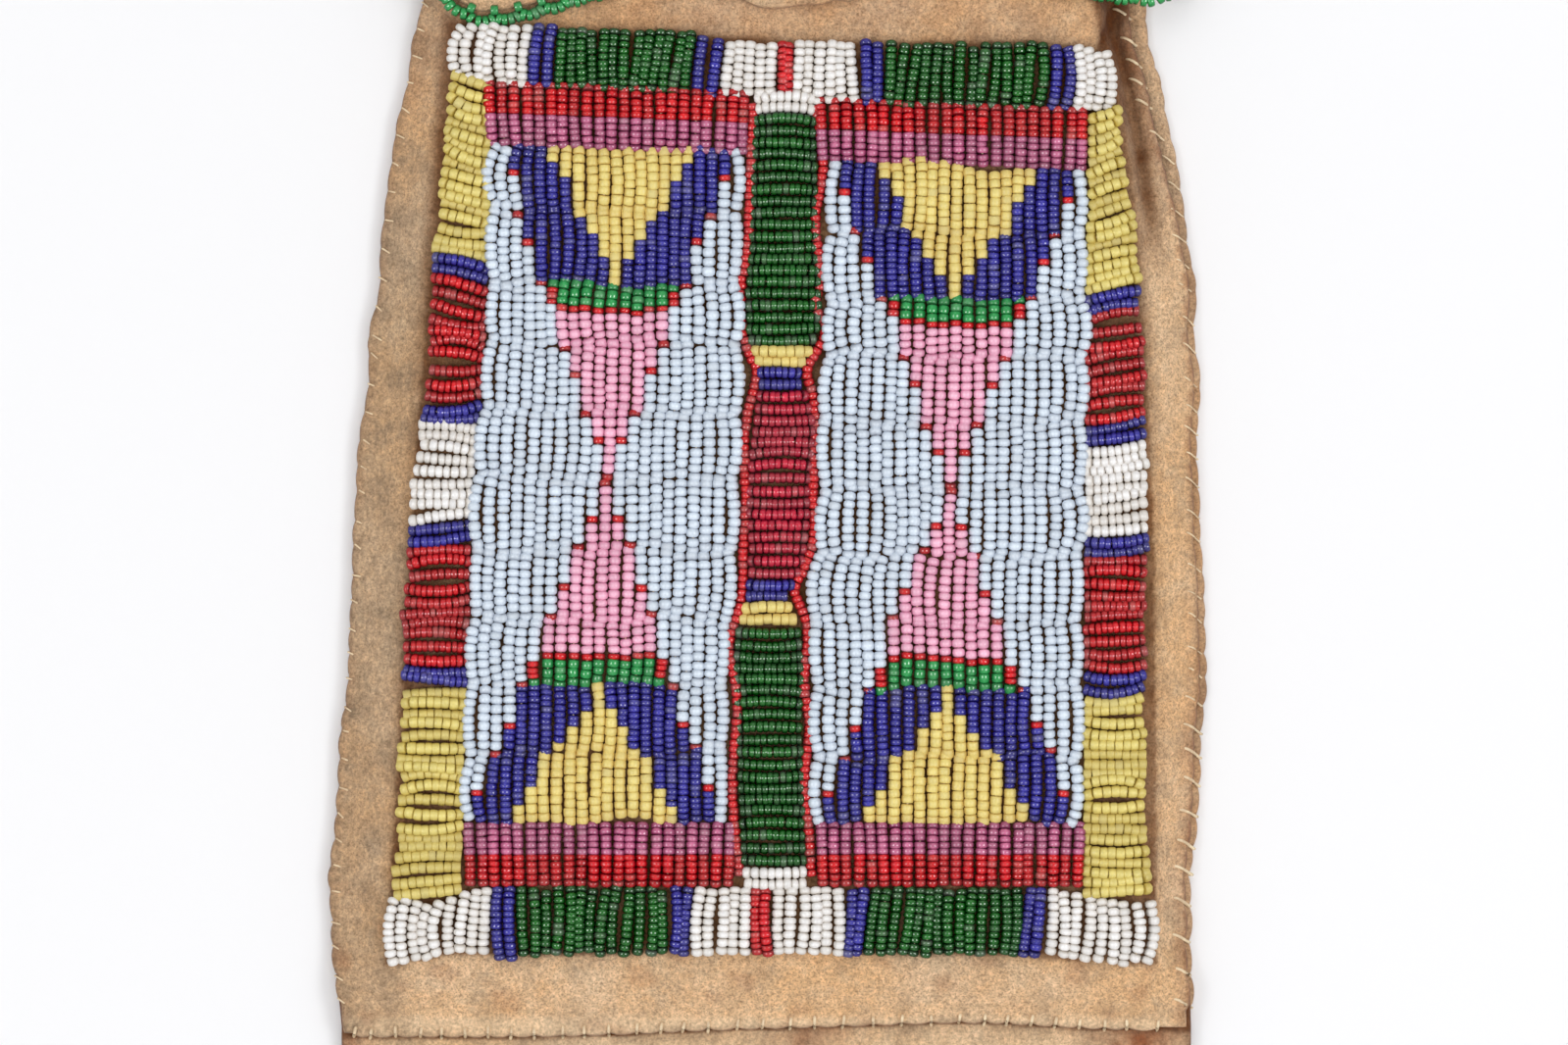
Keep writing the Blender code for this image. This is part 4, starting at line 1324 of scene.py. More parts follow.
@dataclass
class MainPanel:
    """One of the two main panels: ten lanes of strings, with a red and purple band over and under them.

    Attributes:
        name: side of the panel.
        edges: left and right edge of every lane, from the top.
        heights: height of every lane's ends at the left and at the right, from the top.
        bands: left, right, foot and top of the upper and the lower band.
        skip: strings left out, as (lane, string).
        extra: lanes with one more light blue string at their left.
        seed: number that picks its unevenness.
        slack: how loose the outer strings of those lanes are, where 1 is usual.
        slope: fall of the upper band to the right, for each millimetre across.
        band_strings: number of strings in a band.
    """

    name: str
    edges: Table
    heights: Table
    bands: tuple[tuple[float, float, float, float], ...]
    skip: tuple[tuple[int, int], ...]
    extra: tuple[int, ...]
    seed: int
    slack: float = 2.2
    slope: float = 0.038
    band_strings: int = 22

    @staticmethod
    def figures(lane: int) -> list[str]:
        """Figures of a lane's twenty-one strings, given from an edge to the middle and mirrored.

        Args:
            lane: number of the lane, from the top.

        Returns:
            The figures, from the left.
        """
        half = HALF_LANES[min(lane, 9 - lane)]
        if lane > 4:
            half = ["".join(f"{k.name}{n:g}" for k, n in reversed(Beadwork.runs(f))) for f in half]
        return half + half[-2::-1]

    def lane(self, work: Beadwork, number: int) -> None:
        """Lay one lane.

        Strings lie evenly between the lane's edges. They end nearer to the neighbouring lanes' edges,
        and the outer ones bow outwards, since nothing holds them there.

        Args:
            work: beads of the panel.
            number: number of the lane, from the top.
        """
        rng = work.rng
        figures = [f for i, f in enumerate(self.figures(number)) if (number, i) not in self.skip]
        figures = ["L8"] * (number in self.extra) + figures
        count = len(figures)
        share = (np.arange(count) + 0.5) / count
        along_lane = share * count
        lanes = np.array(self.edges)
        above, here, below = lanes[max(number - 1, 0)], lanes[number], lanes[min(number + 1, 9)]
        heights = [np.interp(share, [0, 1], self.heights[k]) + over + rng.normal(0, 0.25, count)
                   + 0.42 * ripple(self.seed + 40 + k, along_lane, 0 * share, 8.0)
                   for k, over in ((number, 0.12), (number + 1, -0.12))]
        slack = 0.5 * (self.slack if number in self.extra else 1.0)
        loose = slack * np.exp(-along_lane / 1.8) - 0.5 * np.exp(-(1 - share) * count / 1.6)
        sway = 0.28 * ripple(self.seed + number, along_lane, 0 * share, 9.0)
        jitter = rng.normal(0, 0.07, (2, count))
        start, end = (np.stack([left + (right - left) * share + shift + loose, h], axis=1)
                      for (left, right), shift, h in zip((0.7 * here + 0.3 * above, 0.7 * here + 0.3 * below),
                                                         jitter, heights))
        bow = sway - 2.4 * loose + rng.normal(0, 0.06, count)
        work.lay(Strings(start, end, figures, bow, uneven(rng, count, 0.17), arch=0.8))

    def band(self, work: Beadwork, upper: bool, figure: str) -> None:
        """Lay a band of short upright strings in two colours.

        Args:
            work: beads of the bands.
            upper: whether it is the upper one, which slopes.
            figure: figure of every string.
        """
        left, right, foot, top = self.bands[0 if upper else 1]
        count, rng = self.band_strings, work.rng
        share = (np.arange(count) + 0.5) / count
        lean = 0.4 * (share - 0.5)
        fall = self.slope * (right - left) * (share - 0.5) * upper
        start, end = (np.stack([left + (right - left) * share + side * lean + rng.normal(0, 0.1, count), h - fall],
                               axis=1) for side, h in ((1, top), (-1, foot)))
        work.lay(Strings(start, end, [figure] * count, rng.normal(0, 0.12, count), uneven(rng, count, 0.26)))

    def build(self, bag: BagShape, finishes: Finishes) -> None:
        """Lay the panel's lanes and bands, and make their pieces.

        Args:
            bag: shape of the bag.
            finishes: materials.
        """
        work = Beadwork(self.name, bag, finishes, self.seed)
        for number in range(len(self.edges)):
            self.lane(work, number)
        stem = f"{self.name}_"
        ends = ("lower", "upper")
        work.build({
            Glass.L: (stem + "light_blue_left", stem + "light_blue_right"),
            Glass.N: tuple(f"{stem}{e}_navy_{s}" for e in ends for s in ("left", "right")),
            Glass.Y: tuple(f"{stem}{e}_yellow" for e in ends),
            Glass.G: tuple(f"{stem}{e}_leaf_green" for e in ends),
            Glass.R: tuple(f"{stem}{e}_red" for e in ends),
            Glass.P: (stem + "pink",)})
        bands = Beadwork(f"{self.name}_band", bag, finishes, self.seed + 50)
        self.band(bands, True, "R4Q4")
        self.band(bands, False, "Q4R4")
        bands.build({Glass.R: (stem + "top_band_red", stem + "bottom_band_red"),
                     Glass.Q: (stem + "top_band_purple", stem + "bottom_band_purple")})


HALF_LANES = (
    ["L8", "N3R1L4", "N8", "N8", "Y2N6", "Y4N4"] + ["Y8"] * 5,
    ["L8", "L8", "R1L7", "N3R1L4", "N8", "N8", "N8", "Y1N7", "Y3N5", "Y5N3", "Y8"],
    ["L8"] * 4 + ["R1L7", "G1R2L5"] + ["G3R1P4"] * 5,
    ["L8"] * 6 + ["R1L7", "P3R1L4", "P8", "P8", "P8"],
    ["L8"] * 8 + ["R1L7", "P3R1L4", "P7R1"],
)
LEFT_PANEL = MainPanel(
    "left_panel",
    ((-48.5, -4.1), (-48.5, -4.4), (-48.3, -4.8), (-49.1, -3.9), (-50.3, -4.9), (-51.3, -4.9), (-51.5, -5.6),
     (-52.0, -6.5), (-52.4, -6.8), (-52.9, -6.6)),
    ((153.6, 152.4), (142.0, 142.0), (129.2, 129.2), (119.0, 119.0), (107.4, 107.4), (95.5, 95.5),
     (83.3, 83.3), (71.2, 71.2), (59.5, 59.5), (47.8, 47.8), (36.0, 36.0)),
    ((-48.8, -2.9, 152.6, 163.6), (-52.7, -5.4, 24.9, 35.8)), ((0, 10),), (0,), 101)
RIGHT_PANEL = MainPanel(
    "right_panel",
    ((10.7, 55.4), (9.5, 55.3), (10.7, 55.6), (9.0, 55.6), (8.7, 55.1), (9.2, 55.1), (7.1, 54.7), (7.3, 54.1),
     (8.0, 55.3), (7.7, 54.1)),
    ((151.0, 148.9), (138.4, 137.9), (127.0, 126.7), (116.5, 116.3), (105.1, 105.4), (93.8, 93.8),
     (82.1, 82.1), (70.7, 70.6), (59.2, 59.2), (47.1, 47.4), (35.7, 35.7)),
    ((8.5, 55.8, 149.9, 160.6), (8.5, 55.1, 24.9, 35.8)), (), (), 211)


@dataclass
class UprightLane:
    """Border lane of upright strings, over or under the panels.

    Attributes:
        name: name of the lane, as its node.
        runs: (letter, strings, left, right) of every colour, from the left.
        foot, top: (x, height) tables of its two long sides.
        lean: (x, shift) table of how far the top of a string stands right of its foot.
        flare: how far the outermost strings bow outwards.
        seed: number that picks its unevenness.
    """

    name: str
    runs: Runs
    foot: Table
    top: Table
    lean: Table
    flare: float
    seed: int

    def build(self, bag: BagShape, finishes: Finishes) -> None:
        """Lay the strings, every colour between its own measured sides.

        Args:
            bag: shape of the bag.
            finishes: materials.
        """
        work = Beadwork(self.name, bag, finishes, self.seed)
        x, figures = measured(self.runs)
        count, rng = len(x), work.rng
        middle = (x[0] + x[-1]) / 2
        outer = self.flare * ((x - middle) / (x[-1] - middle)) ** 5
        sway = 0.22 * ripple(self.seed, x, 0 * x, 16.0)
        shift = 0.25 * ripple(self.seed + 1, x, 0 * x, 9.0) + straight(self.lean, x) / 2
        start, end = (
            np.stack([place + rng.normal(0, 0.12, count), straight(side, x) + rng.normal(0, 0.22, count)], axis=1)
            for place, side in ((x + shift - outer * 0.4, self.top), (x - shift - outer * 0.2, self.foot)))
        bow = outer + sway + rng.normal(0, 0.16, count)
        work.lay(Strings(start, end, figures, bow, uneven(rng, count, 0.24)))
        work.build({kind: (self.name,) for kind in work.held})


@dataclass
class LevelLane:
    """Lane of level strings, up a side or up the middle.

    Attributes:
        name: name of the lane.
        runs: (letter, strings, foot, top) of every colour, from the foot.
        left, right: (height, place) tables of its two long sides.
        tilt: (height, slope) table of the strings: rise to the right for each millimetre across.
        sag: (height, bow) table of how far the middle of a string stands over its ends.
        loose: how unevenly the strings lie.
        outer: side of the slack ends, -1 or 1, or 0 for none.
        seed: number that picks its unevenness.
        nodes: nodes that each letter stands for, where the lane is more than one.
    """

    name: str
    runs: Runs
    left: Table
    right: Table
    tilt: Table
    sag: Table
    loose: float
    outer: int
    seed: int
    nodes: dict[str, tuple[str, ...]] | None = None

    def build(self, bag: BagShape, finishes: Finishes) -> None:
        """Lay the strings, every colour between its own measured heights.

        Args:
            bag: shape of the bag.
            finishes: materials.
        """
        work = Beadwork(self.name, bag, finishes, self.seed)
        h, figures = measured(self.runs)
        count, rng = len(h), work.rng
        left, right = along(self.left, h), along(self.right, h)
        slope = straight(self.tilt, h) * (right - left) / 2
        slack = np.where(np.array([-1, 1]) == self.outer, 1.0, 0.3)
        alone = rng.normal(0, 0.5 * self.loose, (2, 2, count))
        shared = np.stack([[ripple(self.seed + 10 * i + j, h, 0 * h, 7.0) for j in (0, 1)] for i in (0, 1)])
        wander = (alone + 0.7 * self.loose * shared) * slack[:, None, None]
        start, end = (np.stack([x + 0.8 * drift[0], h + rise + drift[1]], axis=1)
                      for x, rise, drift in ((left, -slope, wander[0]), (right, slope, wander[1])))
        bow = straight(self.sag, h) + 0.9 * self.loose * ripple(self.seed + 3, h, 0 * h, 8.0)
        work.lay(Strings(start, end, figures, bow, uneven(rng, count, 0.14 + 0.6 * self.loose)))
        work.build({kind: self.nodes[kind.name] if self.nodes else (self.name,) for kind in work.held})


@dataclass
class LineOfBeads:
    """One string of red beads along the centre lane.

    Attributes:
        name: name of the line, as its node.
        route: (height, place) table.
        seed: number that picks its unevenness.
        pitch: distance between two beads.
    """

    name: str
    route: Table
    seed: int
    pitch: float = 1.2

    def build(self, bag: BagShape, finishes: Finishes) -> None:
        """Lay beads end to end along the route.

        Args:
            bag: shape of the bag.
            finishes: materials.
        """
        work = Beadwork(self.name, bag, finishes, self.seed)
        rng = work.rng
        heights = np.linspace(self.route[0][0], self.route[-1][0], 600)
        x = along(self.route, heights)
        reach = np.concatenate([[0], np.cumsum(np.hypot(np.diff(x), np.diff(heights)))])
        h = np.interp(np.arange(self.pitch / 2, reach[-1], self.pitch), reach, heights)
        count = len(h)
        x = np.interp(h, heights, x) + rng.normal(0, 0.06, count)
        centre = place_points(x, h, bag.front(x, h) + 1.0 + 0.1 * ripple(self.seed, h, 0 * h, 9.0))
        frosted = np.where(rng.random(count) < 0.35, rng.uniform(0.3, 0.8, count), 0.15)
        # Frosted beads get less painted light.
        work.add(centre, unit(np.gradient(centre, axis=0)), np.full(count, self.pitch * 0.97),
                 [Glass.R] * count, frosted, 1 - 0.5 * frosted, 0.9)
        work.build({Glass.R: (self.name,)})


TOP_LANE = UprightLane(
    "top_border",
    (("W", 7, -54.4, -41.1), ("N", 2, -41.0, -36.7), ("T", 13, -36.6, -12.8), ("N", 2, -12.6, -8.0),
     ("W", 5, -7.7, 1.7), ("R", 2, 1.9, 4.4), ("W", 6, 4.4, 15.8), ("N", 2, 16.2, 20.2),
     ("T", 14, 20.4, 48.6), ("N", 2, 49.0, 53.0), ("W", 4, 53.2, 60.0)),
    ((-54.4, 165.2), (-40.0, 163.6), (-13.0, 162.5), (-8.0, 162.0), (5.0, 161.9), (9.0, 160.7), (20.0, 160.4),
     (48.0, 159.9), (60.0, 158.9)),
    ((-54.4, 174.4), (-40.0, 174.0), (-13.0, 172.9), (-8.0, 171.4), (20.0, 171.1), (48.0, 171.0), (53.0, 170.4),
     (60.0, 169.4)),
    ((-54.0, 0.6), (-40.0, 1.0), (-13.0, 1.4), (-7.0, 1.1), (-5.0, 1.2), (-3.0, 0.3), (-1.4, 0.1), (0.6, 1.1),
     (3.0, 0.3), (6.0, 0.8), (20.0, 0.8), (40.0, 0.9), (48.0, 0.5), (52.0, 0.2), (60.0, 0.0)), 1.5, 301)
BOTTOM_LANE = UprightLane(
    "bottom_border",
    (("W", 9, -65.8, -47.9), ("N", 2, -47.6, -43.5), ("T", 13, -43.4, -17.2), ("N", 2, -17.0, -12.9),
     ("W", 5, -12.8, -2.7), ("R", 2, -2.6, 1.0), ("W", 6, 1.2, 13.3), ("N", 2, 13.4, 17.3),
     ("T", 14, 17.5, 44.0), ("N", 2, 44.2, 48.1), ("W", 9, 48.3, 67.3)),
    ((-65.0, 11.2), (-60.0, 11.5), (-56.5, 12.9), (-48.4, 13.1), (-46.5, 12.1), (-44.4, 12.1), (-42.0, 13.0),
     (44.0, 12.9), (49.0, 12.9), (56.0, 12.1), (63.0, 11.0), (67.3, 11.5)),
    ((-65.0, 22.8), (-58.0, 21.8), (-52.3, 24.2), (-48.0, 24.8), (0.0, 24.4), (44.0, 24.6), (50.0, 24.3),
     (58.0, 22.8), (67.3, 21.9)),
    ((-65.0, -1.0), (-58.0, 0.4), (-48.0, 0.2), (0.0, 0.1), (12.0, 0.3), (20.0, 0.5), (44.0, 0.4), (67.0, 0.2)),
    1.1, 401)
LEFT_BORDER = LevelLane(
    "left_border",
    (("O", 19, 23.0, 59.3), ("N", 2, 59.5, 63.2), ("R", 10, 63.2, 83.8), ("N", 2, 84.2, 88.1),
     ("W", 9, 88.4, 105.1), ("N", 2, 105.1, 109.1), ("R", 10, 109.1, 130.1), ("N", 2, 130.1, 134.0),
     ("O", 17, 134.0, 165.4)),
    ((25.5, -64.6), (42.5, -63.6), (68.0, -62.9), (93.5, -61.5), (110.5, -59.0), (130.9, -57.8),
     (144.5, -56.4), (164.9, -54.4)),
    ((25.5, -53.0), (42.5, -52.7), (68.0, -51.7), (93.5, -51.0), (110.5, -49.6), (130.9, -48.5),
     (161.5, -47.9)),
    ((20.0, 0.06), (60.0, -0.04), (88.0, 0.08), (93.0, -0.02), (104.0, -0.1), (109.0, 0.08), (115.0, 0.02),
     (120.0, -0.14), (125.0, -0.26), (134.0, -0.3), (138.0, -0.14), (146.0, -0.34), (165.0, -0.4)),
    ((20.0, 0.0), (130.0, 0.0), (150.0, -0.3), (165.0, -0.3)), 0.42, -1, 501)
RIGHT_BORDER = LevelLane(
    "right_border",
    (("O", 19, 23.0, 58.1), ("N", 2, 58.2, 62.4), ("R", 10, 62.6, 82.3), ("N", 2, 82.3, 85.9),
     ("W", 9, 86.2, 101.7), ("N", 2, 101.7, 105.4), ("R", 9, 105.4, 124.1), ("N", 2, 124.1, 128.0),
     ("O", 17, 128.0, 159.7)),
    ((22.0, 54.9), (95.0, 55.2), (128.0, 55.4), (160.0, 56.0)),
    ((25.5, 66.3), (42.5, 65.5), (68.0, 65.6), (110.5, 65.6), (127.5, 64.6), (144.5, 62.6), (158.1, 60.9)),
    ((20.0, 0.02), (60.0, 0.03), (80.0, 0.03), (90.0, 0.12), (125.0, 0.16), (138.0, 0.3), (160.0, 0.42)),
    ((20.0, 0.0), (52.0, 0.0), (57.0, -0.8), (62.0, -0.7), (65.0, 0.0), (160.0, 0.0)), 0.42, 1, 601)
CENTRE = LevelLane(
    "centre_lane",
    (("W", 2, 24.3, 28.4), ("T", 20, 28.4, 70.0), ("Y", 2, 70.1, 74.0), ("N", 2, 74.0, 78.0),
     ("D", 16, 78.2, 110.8), ("N", 2, 110.8, 114.9), ("Y", 2, 115.0, 118.6), ("T", 20, 118.6, 158.5),
     ("W", 2, 158.5, 162.3)),
    ((25.5, -4.1), (51.0, -5.1), (69.7, -5.1), (75.7, -3.4), (93.5, -3.4), (108.8, -1.7), (113.1, -1.2),
     (118.7, -2.9), (137.7, -2.9), (161.5, -2.0)),
    ((25.5, 6.8), (51.0, 6.1), (69.7, 5.6), (75.7, 3.9), (77.9, 5.1), (93.5, 7.5), (108.8, 7.5), (113.1, 5.6),
     (118.7, 8.2), (137.7, 8.7), (161.5, 8.2)),
    ((20.0, 0.0), (148.0, 0.0), (152.0, -0.04), (157.0, -0.02), (160.0, 0.0)),
    ((20.0, -0.1), (30.0, 0.0), (146.0, 0.0), (152.0, 0.4), (158.0, 0.8), (162.0, 0.6)), 0.22, 0, 701,
    {"W": ("centre_lane_foot_white", "centre_lane_head_white"),
     "T": ("centre_lane_lower_green", "centre_lane_upper_green"),
     "Y": ("centre_lane_lower_yellow", "centre_lane_upper_yellow"),
     "N": ("centre_lane_lower_navy", "centre_lane_upper_navy"),
     "D": ("centre_lane_dark_red",)})
LEFT_LINE = LineOfBeads("left_red_line", (
    (26.5, -4.6), (32.0, -5.3), (42.5, -6.0), (48.5, -5.6), (58.8, -5.3), (62.2, -6.0), (66.5, -6.6),
    (74.1, -4.6), (83.1, -4.1), (92.7, -3.7), (101.3, -3.9), (106.6, -3.4), (110.3, -2.4), (113.9, -1.7),
    (118.7, -3.7), (126.3, -4.6), (136.0, -3.4), (149.1, -2.9), (161.2, -2.4)), 801)
RIGHT_LINE = LineOfBeads("right_red_line", (
    (26.5, 7.8), (34.5, 7.3), (42.5, 6.6), (53.6, 7.3), (58.8, 6.6), (71.6, 6.6), (76.2, 4.9), (80.2, 6.6),
    (84.8, 8.0), (92.7, 8.0), (110.0, 8.0), (114.6, 7.0), (118.7, 9.4), (122.1, 10.0), (125.6, 8.3),
    (128.2, 9.0), (141.1, 8.5), (149.1, 9.7), (154.2, 9.4), (160.5, 8.5)), 811)


@dataclass
class FlapEdging:
    """Looped beads along one side of the flap and its outer lobe.

    An outer row of beads swings out a little between the places where it is sewn down, and a single
    bead sits on the hide's edge at each of them.

    Attributes:
        name: name of the edging, as its node.
        side: -1 for the left and 1 for the right.
        notch: place across where it stops.
        pitch: distance between two loops.
        swing: how far a loop swings out.
        hang: how far its ends stand out from the hide's edge.
        each: number of beads in a loop.
        seed: number that picks its unevenness.
    """

    name: str
    side: int
    notch: float
    pitch: float = 4.2
    swing: float = 0.6
    hang: float = 1.55
    each: int = 4
    seed: int = 901

    def outline(self, sheets: HideSheets) -> tuple[Array, Array, Array]:
        """Points of the flap's edge from the fold to the notch, evenly spaced, and their outward normals.

        Args:
            sheets: the hides.

        Returns:
            Distances along the edge, points (x, h), and normals.
        """
        low = FLAP_LOBES[0 if self.side < 0 else -1][0]
        h = np.linspace(sheets.bag.fold - sheets.bag.fold_radius - 1, sheets.flap_foot(np.array(low)), 80)
        x = np.linspace(low, self.notch, 80)[1:]
        edge = np.concatenate([np.stack([sheets.flap_side(h, self.side), h], axis=1),
                               np.stack([x, sheets.flap_foot(x)], axis=1)])
        reach = np.concatenate([[0], np.cumsum(np.linalg.norm(np.diff(edge, axis=0), axis=1))])
        even = np.arange(0, reach[-1], 0.1)
        smooth = np.stack([np.convolve(np.pad(np.interp(even, reach, v), 12, "edge"), np.ones(25) / 25, "valid")
                           for v in edge.T], axis=1)
        step = unit(np.gradient(smooth, axis=0))
        return even, smooth, np.stack([step[:, 1], -step[:, 0]], axis=1) * -self.side

    def build(self, sheets: HideSheets, finishes: Finishes) -> None:
        """Lay the loops and the beads that hold them.

        Args:
            sheets: the hides.
            finishes: materials.
        """
        work = Beadwork(self.name, sheets.bag, finishes, self.seed)
        reach, edge, normal = self.outline(sheets)
        rng = work.rng

        def at(places: Array, out: Array, drop: Array) -> Array:
            """Points at places along the edge, out from it, and below the flap's outer face.

            Args:
                places: distances along the edge.
                out: how far out.
                drop: how far below.

            Returns:
                The points.
            """
            x, h, nx, nh = (np.interp(places, reach, v) for v in (*edge.T, *normal.T))
            x, h = x + nx * out, h + nh * out
            return place_points(x, h, sheets.flap_top(x) - drop)

        knots = np.arange(0.8, reach[-1] - self.pitch, self.pitch)
        knots = knots + rng.uniform(-0.25, 0.25, len(knots))
        first, spans, count, each = knots[:-1, None], np.diff(knots), len(knots) - 1, self.each
        share = (np.arange(each) + 0.5) / each
        t = np.tile(share, count)
        places = (first + spans[:, None] * share).ravel()
        drop = 0.75 + 0.3 * t * (1 - t)
        centre = at(places, self.hang + self.swing * 4 * t * (1 - t), drop)
        ahead = at(places + 0.2, self.hang + self.swing * 4 * (t + 0.05) * (0.95 - t), drop)
        dust = np.where(rng.random(len(t)) < 0.3, rng.uniform(0.2, 0.7, len(t)), 0.1)
        # Dustier beads get less painted light.
        work.add(centre, unit(ahead - centre), np.repeat(spans, each) / each * 0.98, [Glass.G] * len(t),
                 dust, 1 - 0.5 * dust, 1.06)
        centre, ahead = (at(knots + step, 0.3, 0.15) for step in (0.0, 0.2))
        held = np.full(len(knots), 0.15)
        # The beads at the knots get a little painted shade.
        work.add(centre, unit(ahead - centre), 0 * knots + 1.3, [Glass.G] * len(knots), held, 1 - held, 0.9)
        fine = np.linspace(0, 1, 8)
        arc = np.tile(4 * fine * (1 - fine), count)
        route = at((first + spans[:, None] * fine).ravel(), 1.0 + 0.5 * arc, 0.8 + 0.2 * arc)
        work.threads = list(route.reshape(count, len(fine), 3))
        work.build({Glass.G: (self.name,)}, "flap")


# ---------------------------------------------------------------- threads


@dataclass
class Stitching:
    """Whip stitches along both sides, the bottom seam and the fold.

    Attributes:
        bag: shape of the bag.
        finishes: materials.
        radius: radius of the thread.
        foot_radius: radius of the bottom seam's thread.
        fold_pitch: distance between two stitches of the fold.
        sides: number of sides of a thread.
    """

    bag: BagShape
    finishes: Finishes
    radius: float = 0.15
    foot_radius: float = 0.3
    fold_pitch: float = 3.2
    sides: int = 6

    def side_seam(self, side: int) -> Piece:
        """Stitches over one side edge: up out of the front, over the edge and into the back.

        On the left each one ends a little lower inside. On the right they are arcs that fall towards
        the edge, and at the top they stop at the front's cut edge.

        Args:
            side: -1 for the left and 1 for the right.

        Returns:
            The piece.
        """
        bag = self.bag
        rng = np.random.default_rng(71 + side)
        h = bag.stitches(side)
        h = h[(h > 2) & (h < bag.mouth - 3)][:, None]
        t = np.linspace(0, 1, 11)[None, :]
        upper = ease((h - 148) / 12) * (side > 0)
        lower = ease((64 - h) / 20) * (side > 0)
        reach, slant, bend = ((0.9, 1.6), (0.2, 1.0), 1.0) if side < 0 else ((2.0, 2.6), (1.3, 1.9), 1.6)
        reach, slant = rng.uniform(*reach, h.shape), rng.uniform(*slant, h.shape)
        reach = reach + 0.5 * upper + 0.7 * lower
        inset = along(bag.front_inset, h) if side > 0 else 0.0
        out = bag.edge(h + 0 * t, side) - side * (0.2 + 0.8 * inset * upper)
        depth = np.interp(t, [0, 0.5, 0.66, 0.83, 1.0], [1.0, 0.12, -0.14, 0.1, 0.6])
        x = out - side * reach * depth
        rise = h + side * slant * (1 - (1 - np.clip(depth, 0, 1) * (t < 0.6)) ** bend)
        bare = (side * x > side * bag.edge(rise, side) - inset - 0.1) & (side > 0)
        ledge = bag.hide + 0.2 + 0.8 * ease((rise - 130) / 20)
        over = np.where(bare, ledge, bag.hide_top(x, rise)) + self.radius * np.interp(
            t, [0, 0.12, 0.5, 1], [-1.5, 0.8, 1.0, 1.0])
        under = 0.35
        z = np.where(t <= 0.55, over, over + (under - over) * ease((t - 0.55) / 0.4))
        thick = self.radius * (1 + 0.6 * upper + 0.8 * lower)[:, 0]
        piece = thread_piece("left_seam_thread" if side < 0 else "right_seam_thread", place_points(x, rise, z),
                             thick, self.finishes.sinew, self.sides)
        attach(piece, "bag")
        return piece

    def bottom_seam(self) -> Piece:
        """Stitches over the cut foot of the front, down into the lower hide.

        Returns:
            The piece.
        """
        rng = np.random.default_rng(83)
        x = np.array(BOTTOM_STITCHES)[:, None]
        t = np.linspace(0, 1, 8)[None, :]
        notch = along(self.bag.seam_sag, x) + 0.6
        top = notch + rng.uniform(0.7, 1.2, x.shape)
        low = notch - rng.uniform(0.85, 1.3, x.shape)
        h = top + (low - top) * t
        x = x + rng.uniform(-0.05, 0.45, x.shape) * (0.5 - t)
        lift = self.foot_radius * np.interp(t, [0, 0.15, 1], [-1.0, 1.3, 1.3])
        over = self.bag.front(x, np.maximum(h, 0.3)) + lift
        z = over + (self.bag.side_top + 0.35 - over) * ease((notch - 0.1 - h) / 0.7) - 0.5 * ease((t - 0.9) / 0.1)
        piece = thread_piece("bottom_seam_thread", place_points(x, h, z), self.foot_radius,
                             self.finishes.sinew, self.sides)
        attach(piece, "bag")
        return piece

    def fold_seam(self) -> Piece:
        """Short stitches that join the back and the flap outside the fold, curved round it.

        Returns:
            The piece.
        """
        bag = self.bag
        left, right = (float(bag.edge(np.array(bag.fold), s)) for s in (-1, 1))
        x = np.arange(left + 2, right - 1.5, self.fold_pitch)[:, None]
        t = np.linspace(-1, 1, 9)[None, :]
        route = place_points(x + 0.8 * t, bag.fold - 0.35 + 0.55 * np.cos(1.4 * t), bag.hinge_height + 1.9 * t)
        piece = thread_piece("fold_seam_thread", route, self.radius, self.finishes.sinew, self.sides)
        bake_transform(piece)
        return piece

    def build(self) -> None:
        """Sew every seam."""
        for piece in (self.side_seam(-1), self.side_seam(1), self.bottom_seam(), self.fold_seam()):
            log.info("%s: %d vertices", piece.name, len(piece.data.vertices))


# ---------------------------------------------------------------- studio


@dataclass(frozen=True)
class Lamp:
    """Square soft lamp aimed near the middle of the picture.

    Attributes:
        name: name of the lamp.
        place: where it hangs, in metres.
        size: width of its face, in metres.
        power: its power, in watts.
        lights: whether it lights the bag, or only shows in reflections.
        aim: point that it is aimed at, in metres.
    """

    name: str
    place: tuple[float, float, float]
    size: float
    power: float
    lights: bool = True
    aim: tuple[float, float, float] = (0.0, -0.02, 0.0)

    def build(self) -> None:
        """Hang the lamp."""
        data = bpy.data.lights.new(self.name, "AREA")
        data.shape = "SQUARE"
        data.size = self.size
        data.energy = self.power
        lamp = link(self.name, data)
        lamp.location = self.place
        beam = np.array(self.aim) - np.array(self.place)
        pitch = math.atan2(math.hypot(beam[0], beam[1]), -beam[2])
        lamp.rotation_euler = (pitch, 0.0, math.atan2(beam[1], beam[0]) - math.pi / 2)
        lamp.visible_diffuse = self.lights


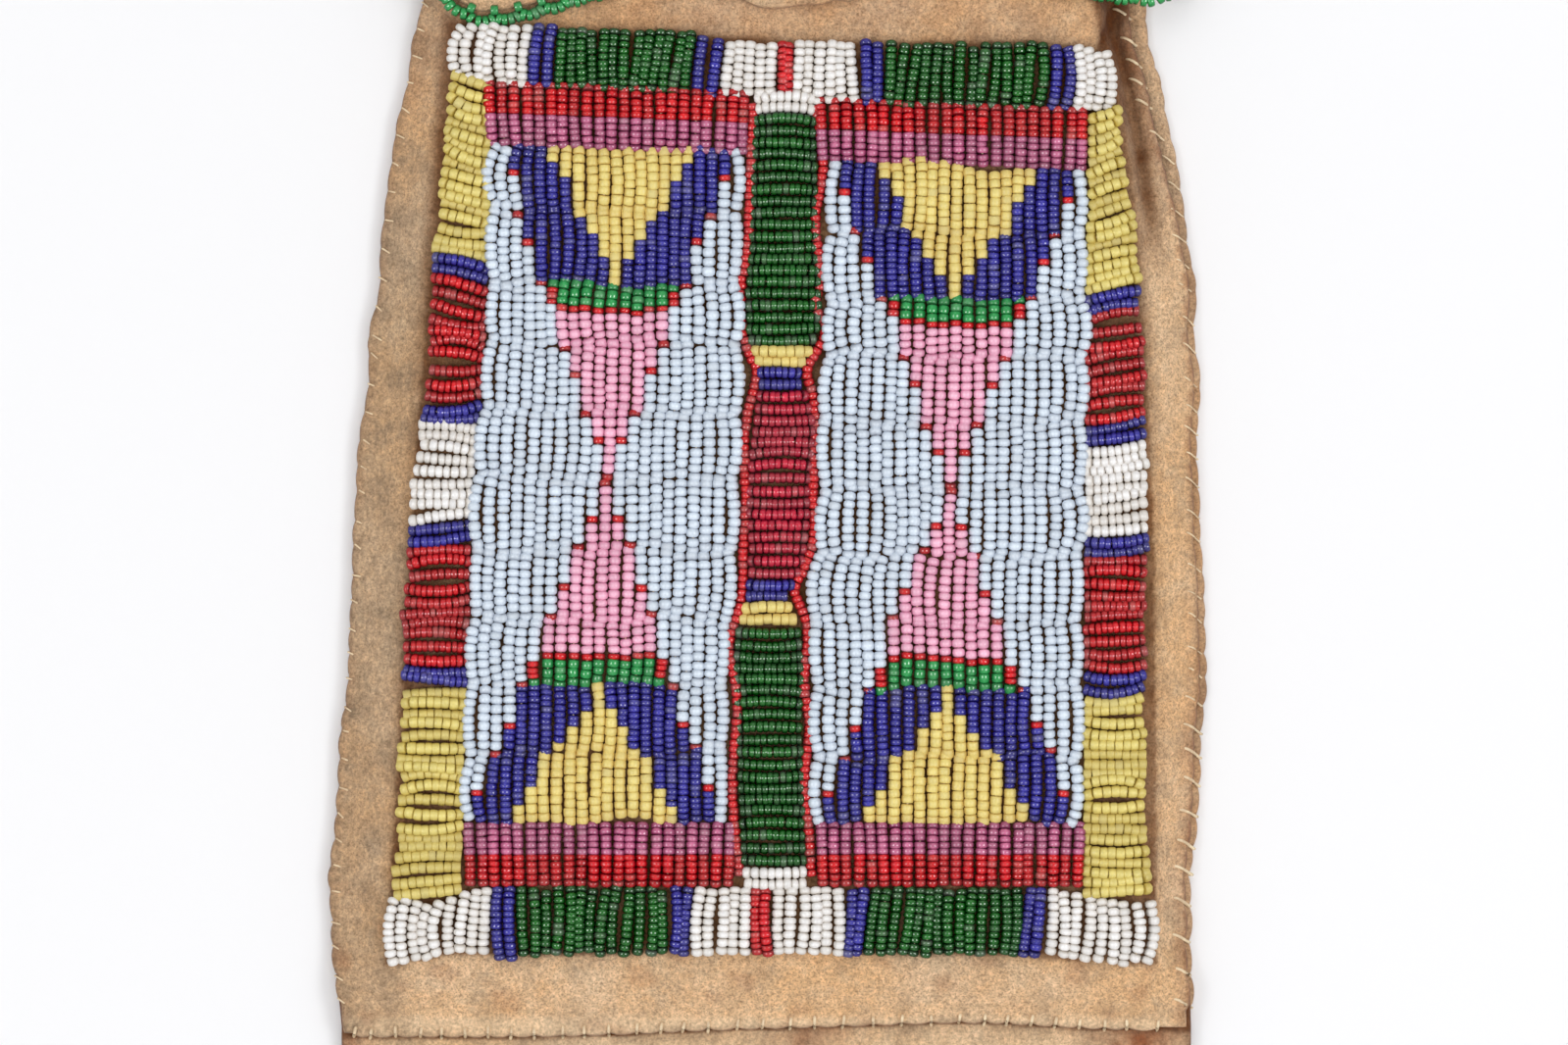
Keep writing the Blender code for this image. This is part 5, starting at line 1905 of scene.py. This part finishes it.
@dataclass(frozen=True)
class Studio:
    """Camera straight above the bag, pale floor and soft light from above, with small lamps at both sides.

    Attributes:
        eye: place of the camera over the table, in millimetres.
        frame_width: width of the picture at the beads, in millimetres.
        frame_height: height over the table at which that width holds.
        sensor: width of the camera's sensor.
        lamps: the lamps.
        sky: strength of the world's white light.
        floor_half: half the width of the floor, in metres.
    """

    eye: tuple[float, float, float] = (2.98, -21.1, 1509.5)
    frame_width: float = 271.8
    frame_height: float = 9.5
    sensor: float = 36.0
    lamps: tuple[Lamp, ...] = (
        Lamp("head_lamp", (0.0, 1.3, 1.6), 1.2, 5.0), Lamp("foot_lamp", (0.0, -1.35, 1.6), 1.2, 5.0),
        Lamp("left_lamp", (-1.1, -0.25, 1.35), 0.5, 4.5), Lamp("right_lamp", (1.1, -0.25, 1.35), 0.5, 7.0),
        Lamp("left_catch_light", (-1.0, -0.2, 1.3), 0.42, 24.0, False),
        Lamp("right_catch_light", (1.0, -0.2, 1.3), 0.42, 24.0, False))
    sky: float = 0.61
    floor_half: float = 3.0

    def camera(self) -> None:
        """Camera looking straight down, its picture's top towards the fold."""
        data = bpy.data.cameras.new("camera")
        data.sensor_width = self.sensor
        data.lens = self.sensor * (self.eye[2] - self.frame_height) / self.frame_width
        data.clip_start, data.clip_end = 0.05, 20.0
        camera = link("camera", data)
        camera.location = [v * MM for v in self.eye]
        bpy.context.scene.camera = camera

    def floor(self) -> None:
        """Pale floor that keeps the bag's shadow."""
        mesh = bpy.data.meshes.new("floor")
        half = self.floor_half
        mesh.from_pydata([(-half, -half, 0), (half, -half, 0), (half, half, 0), (-half, half, 0)], [], [(0, 1, 2, 3)])
        material, board, shader = new_material("floor_paper")
        board.feed(shader.inputs, {"Base Color": FLOOR_TONE, "Roughness": 0.9, "Specular IOR Level": 0.1})
        mesh.materials.append(material)
        floor = link("floor", mesh)

    def build(self) -> None:
        """Set up the camera, the floor, the lamps and the world."""
        self.camera()
        self.floor()
        for lamp in self.lamps:
            lamp.build()
        world = bpy.data.worlds.new("studio")
        world.use_nodes = True
        Board(world.node_tree).feed(world.node_tree.nodes["Background"].inputs,
                                    {"Color": (1.0, 1.0, 1.0), "Strength": self.sky})
        bpy.context.scene.world = world
        bpy.context.scene.view_settings.view_transform = "Standard"


def main() -> None:
    """Build the studio and every sub-assembly in order."""
    logging.basicConfig(level=logging.INFO, format="%(message)s")
    Studio().build()
    bag = BagShape()
    finishes = Finishes()
    sheets = HideSheets(bag, finishes)
    sheets.build()
    for part in (LEFT_PANEL, RIGHT_PANEL, TOP_LANE, BOTTOM_LANE, LEFT_BORDER, RIGHT_BORDER, CENTRE, LEFT_LINE,
                 RIGHT_LINE):
        part.build(bag, finishes)
    FlapEdging("flap_edge_beads_left", -1, -21.8).build(sheets, finishes)
    FlapEdging("flap_edge_beads_right", 1, 33.7).build(sheets, finishes)
    Stitching(bag, finishes).build()


if __name__ == "__main__":
    main()
